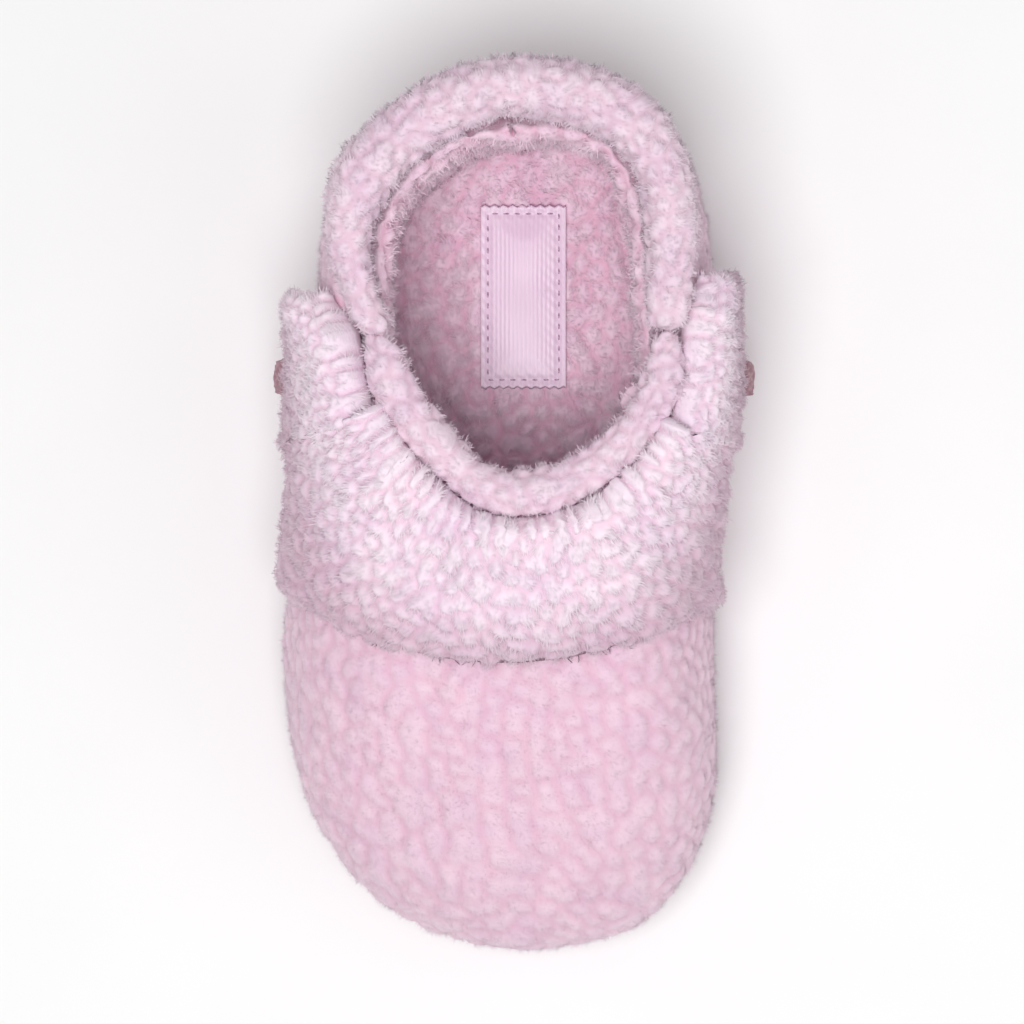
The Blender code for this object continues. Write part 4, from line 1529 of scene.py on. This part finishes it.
def make_sole(looks):
    """The outsole with its seam and grips, and the foam inside it."""
    plan = inset_outline(SEAM_INSET, SEAM_POINTS)
    outward = unit(plan - inset_outline(SEAM_INSET + 1.0, SEAM_POINTS))
    path = np.column_stack((plan, np.full(SEAM_POINTS, SEAM_LEVEL)))
    # The stitches face out and a little down.
    ups = unit(np.column_stack((outward, np.full(SEAM_POINTS, -0.5))))
    place("sole_stitches", stitches(path, ups, *SEAM_STITCH), looks["sole_thread"],
          "bootie", "thread", "sole_seam_thread")
    form = refined("outsole", 0.6)
    # The nap covers the sides and the underside.
    form.pile = smooth(0.6 - 2.0 * form.normals()[:, 2])
    grow("outsole_cloth", form, SOLE_NAP, 91, looks["sole"], "bootie", "sole_fabric", "outsole")
    form = refined("midsole_foam", 0.9)
    form.points += FOAM_RELIEF * rolling(form.points, FOAM_LUMP)[:, None] * form.normals()
    piece = place("midsole_foam_cells", form, looks["foam"], "bootie", "foam", "midsole_foam")
    for end in ("forefoot", "heel"):
        form = refined("grip_pad_" + end, 0.36)
        underside = smooth(-2.0 * form.normals()[:, 2])
        form.points[:, 2] += GRIP_RELIEF * (1.0 - grip_dots(form.points)) * underside
        place("grip_dots_" + end, form, looks["grip"], "bootie", "grip", "grip_pad_" + end)


# The pulls' weave, and how far they are from the centre that their angles are taken from.
WEAVE_PITCH = 0.75
WEAVE_HEIGHT = 0.1
PULL_RADIUS = 28.0


def facing(share):
    """1 where a surface faces the way that share is positive for, and 0 at its edges and back."""
    return smooth((share - 0.3) / 0.4)


def make_closures(looks):
    """Loop tape on the ankle, hook tape and a woven pull on each tab."""
    for side_name, side in SIDES:
        tab = side_name + "_tab"
        form = refined("loop_patch_" + side_name, 0.3)
        form.pile = facing(outward_share(form))
        grow("loop_tape_" + side_name, form, LOOP_NAP, 100 + side, looks["loop"],
             "bootie", "hook_loop", "loop_patch_" + side_name)
        form = refined("hook_patch_" + side_name, 0.3)
        form.pile = facing(-outward_share(form))
        grow("hook_tape_" + side_name, form, HOOK_NAP, 110 + side, looks["hook"],
             tab, "hook_loop", "hook_patch_" + side_name)
        form = refined("pull_tab_" + side_name, 0.17)
        offset = form.points[:, :2] - CENTRE
        across = np.arctan2(offset[:, 1], offset[:, 0] * side) * PULL_RADIUS
        yarns = np.sin(math.pi * across / WEAVE_PITCH) * np.sin(math.pi * form.points[:, 2] / WEAVE_PITCH)
        form.points += WEAVE_HEIGHT * yarns[:, None] * form.normals()
        place("pull_webbing_" + side_name, form, looks["rose"], tab, "rose_webbing", "pull_tab_" + side_name)


# ---------------------------------------------------------------------------
# Floor, light and camera
# ---------------------------------------------------------------------------
CAMERA_PLACE = (38.0, 1.0, 1000.0)
AIM = (0.5, 0.0, 26.0)
FRAME_WIDTH = 142.0
SENSOR = 36.0
FLOOR_HALF = 2000.0
WORLD_STRENGTH = 0.42
# Each lamp's name, place, size across and power.
LAMPS = (
    ("key", (-35.0, -105.0, 800.0), 340.0, 3.85),
    ("fill", (420.0, -160.0, 520.0), 620.0, 0.45),
)
LAMP_AIM = (0.0, 0.0, 25.0)


def make_stage():
    """White paper under white light from all round, and the lamps."""
    corners = np.array(((-1, -1, 0), (1, -1, 0), (1, 1, 0), (-1, 1, 0))) * FLOOR_HALF
    floor = mesh_object("floor", corners, np.array(((0, 1, 2, 3),)), np.zeros((0, 3)))
    look = Look("floor_paper", 0.9, specular=0.1)
    paper = look.ramp(look.noise(40.0, 2.0), ((0.3, 0.93), (0.7, 0.95)))
    floor.data.materials.append(look.finished(paper))
    world = bpy.data.worlds.new("studio")
    world.use_nodes = True
    world.node_tree.nodes["Background"].inputs["Color"].default_value = (1.0, 1.0, 1.0, 1.0)
    world.node_tree.nodes["Background"].inputs["Strength"].default_value = WORLD_STRENGTH
    bpy.context.scene.world = world
    for lamp in LAMPS:
        area_light(*lamp)
    bpy.context.scene.view_settings.view_transform = "Standard"


def area_light(name, where, size, power):
    """A round lamp that shines on the middle of the bootie."""
    data = bpy.data.lights.new(name, "AREA")
    data.shape = "DISK"
    data.size = size * MM
    data.energy = power
    item = bpy.data.objects.new(name, data)
    bpy.context.collection.objects.link(item)
    item.location = Vector(where) * MM
    aim = Vector(LAMP_AIM) * MM
    item.rotation_euler = (aim - item.location).to_track_quat("-Z", "Y").to_euler()


def make_camera():
    """A long lens nearly overhead, with the heel upwards in the picture."""
    data = bpy.data.cameras.new("camera")
    data.sensor_width = SENSOR
    item = bpy.data.objects.new("camera", data)
    bpy.context.collection.objects.link(item)
    item.location = Vector(CAMERA_PLACE) * MM
    look = Vector(AIM) * MM - item.location
    data.lens = SENSOR * look.length / (FRAME_WIDTH * MM)
    back = -look.normalized()
    right = Vector((0.0, 1.0, 0.0)).cross(back).normalized()
    heelward = back.cross(right)
    item.rotation_euler = Matrix((right, heelward, back)).transposed().to_euler()
    bpy.context.scene.camera = item


make_camera()
make_stage()
looks = make_looks()
make_upper(looks)
make_rims(looks)
make_flap(looks)
make_tabs(looks)
make_insole(looks)
make_label(looks)
make_sole(looks)
make_closures(looks)
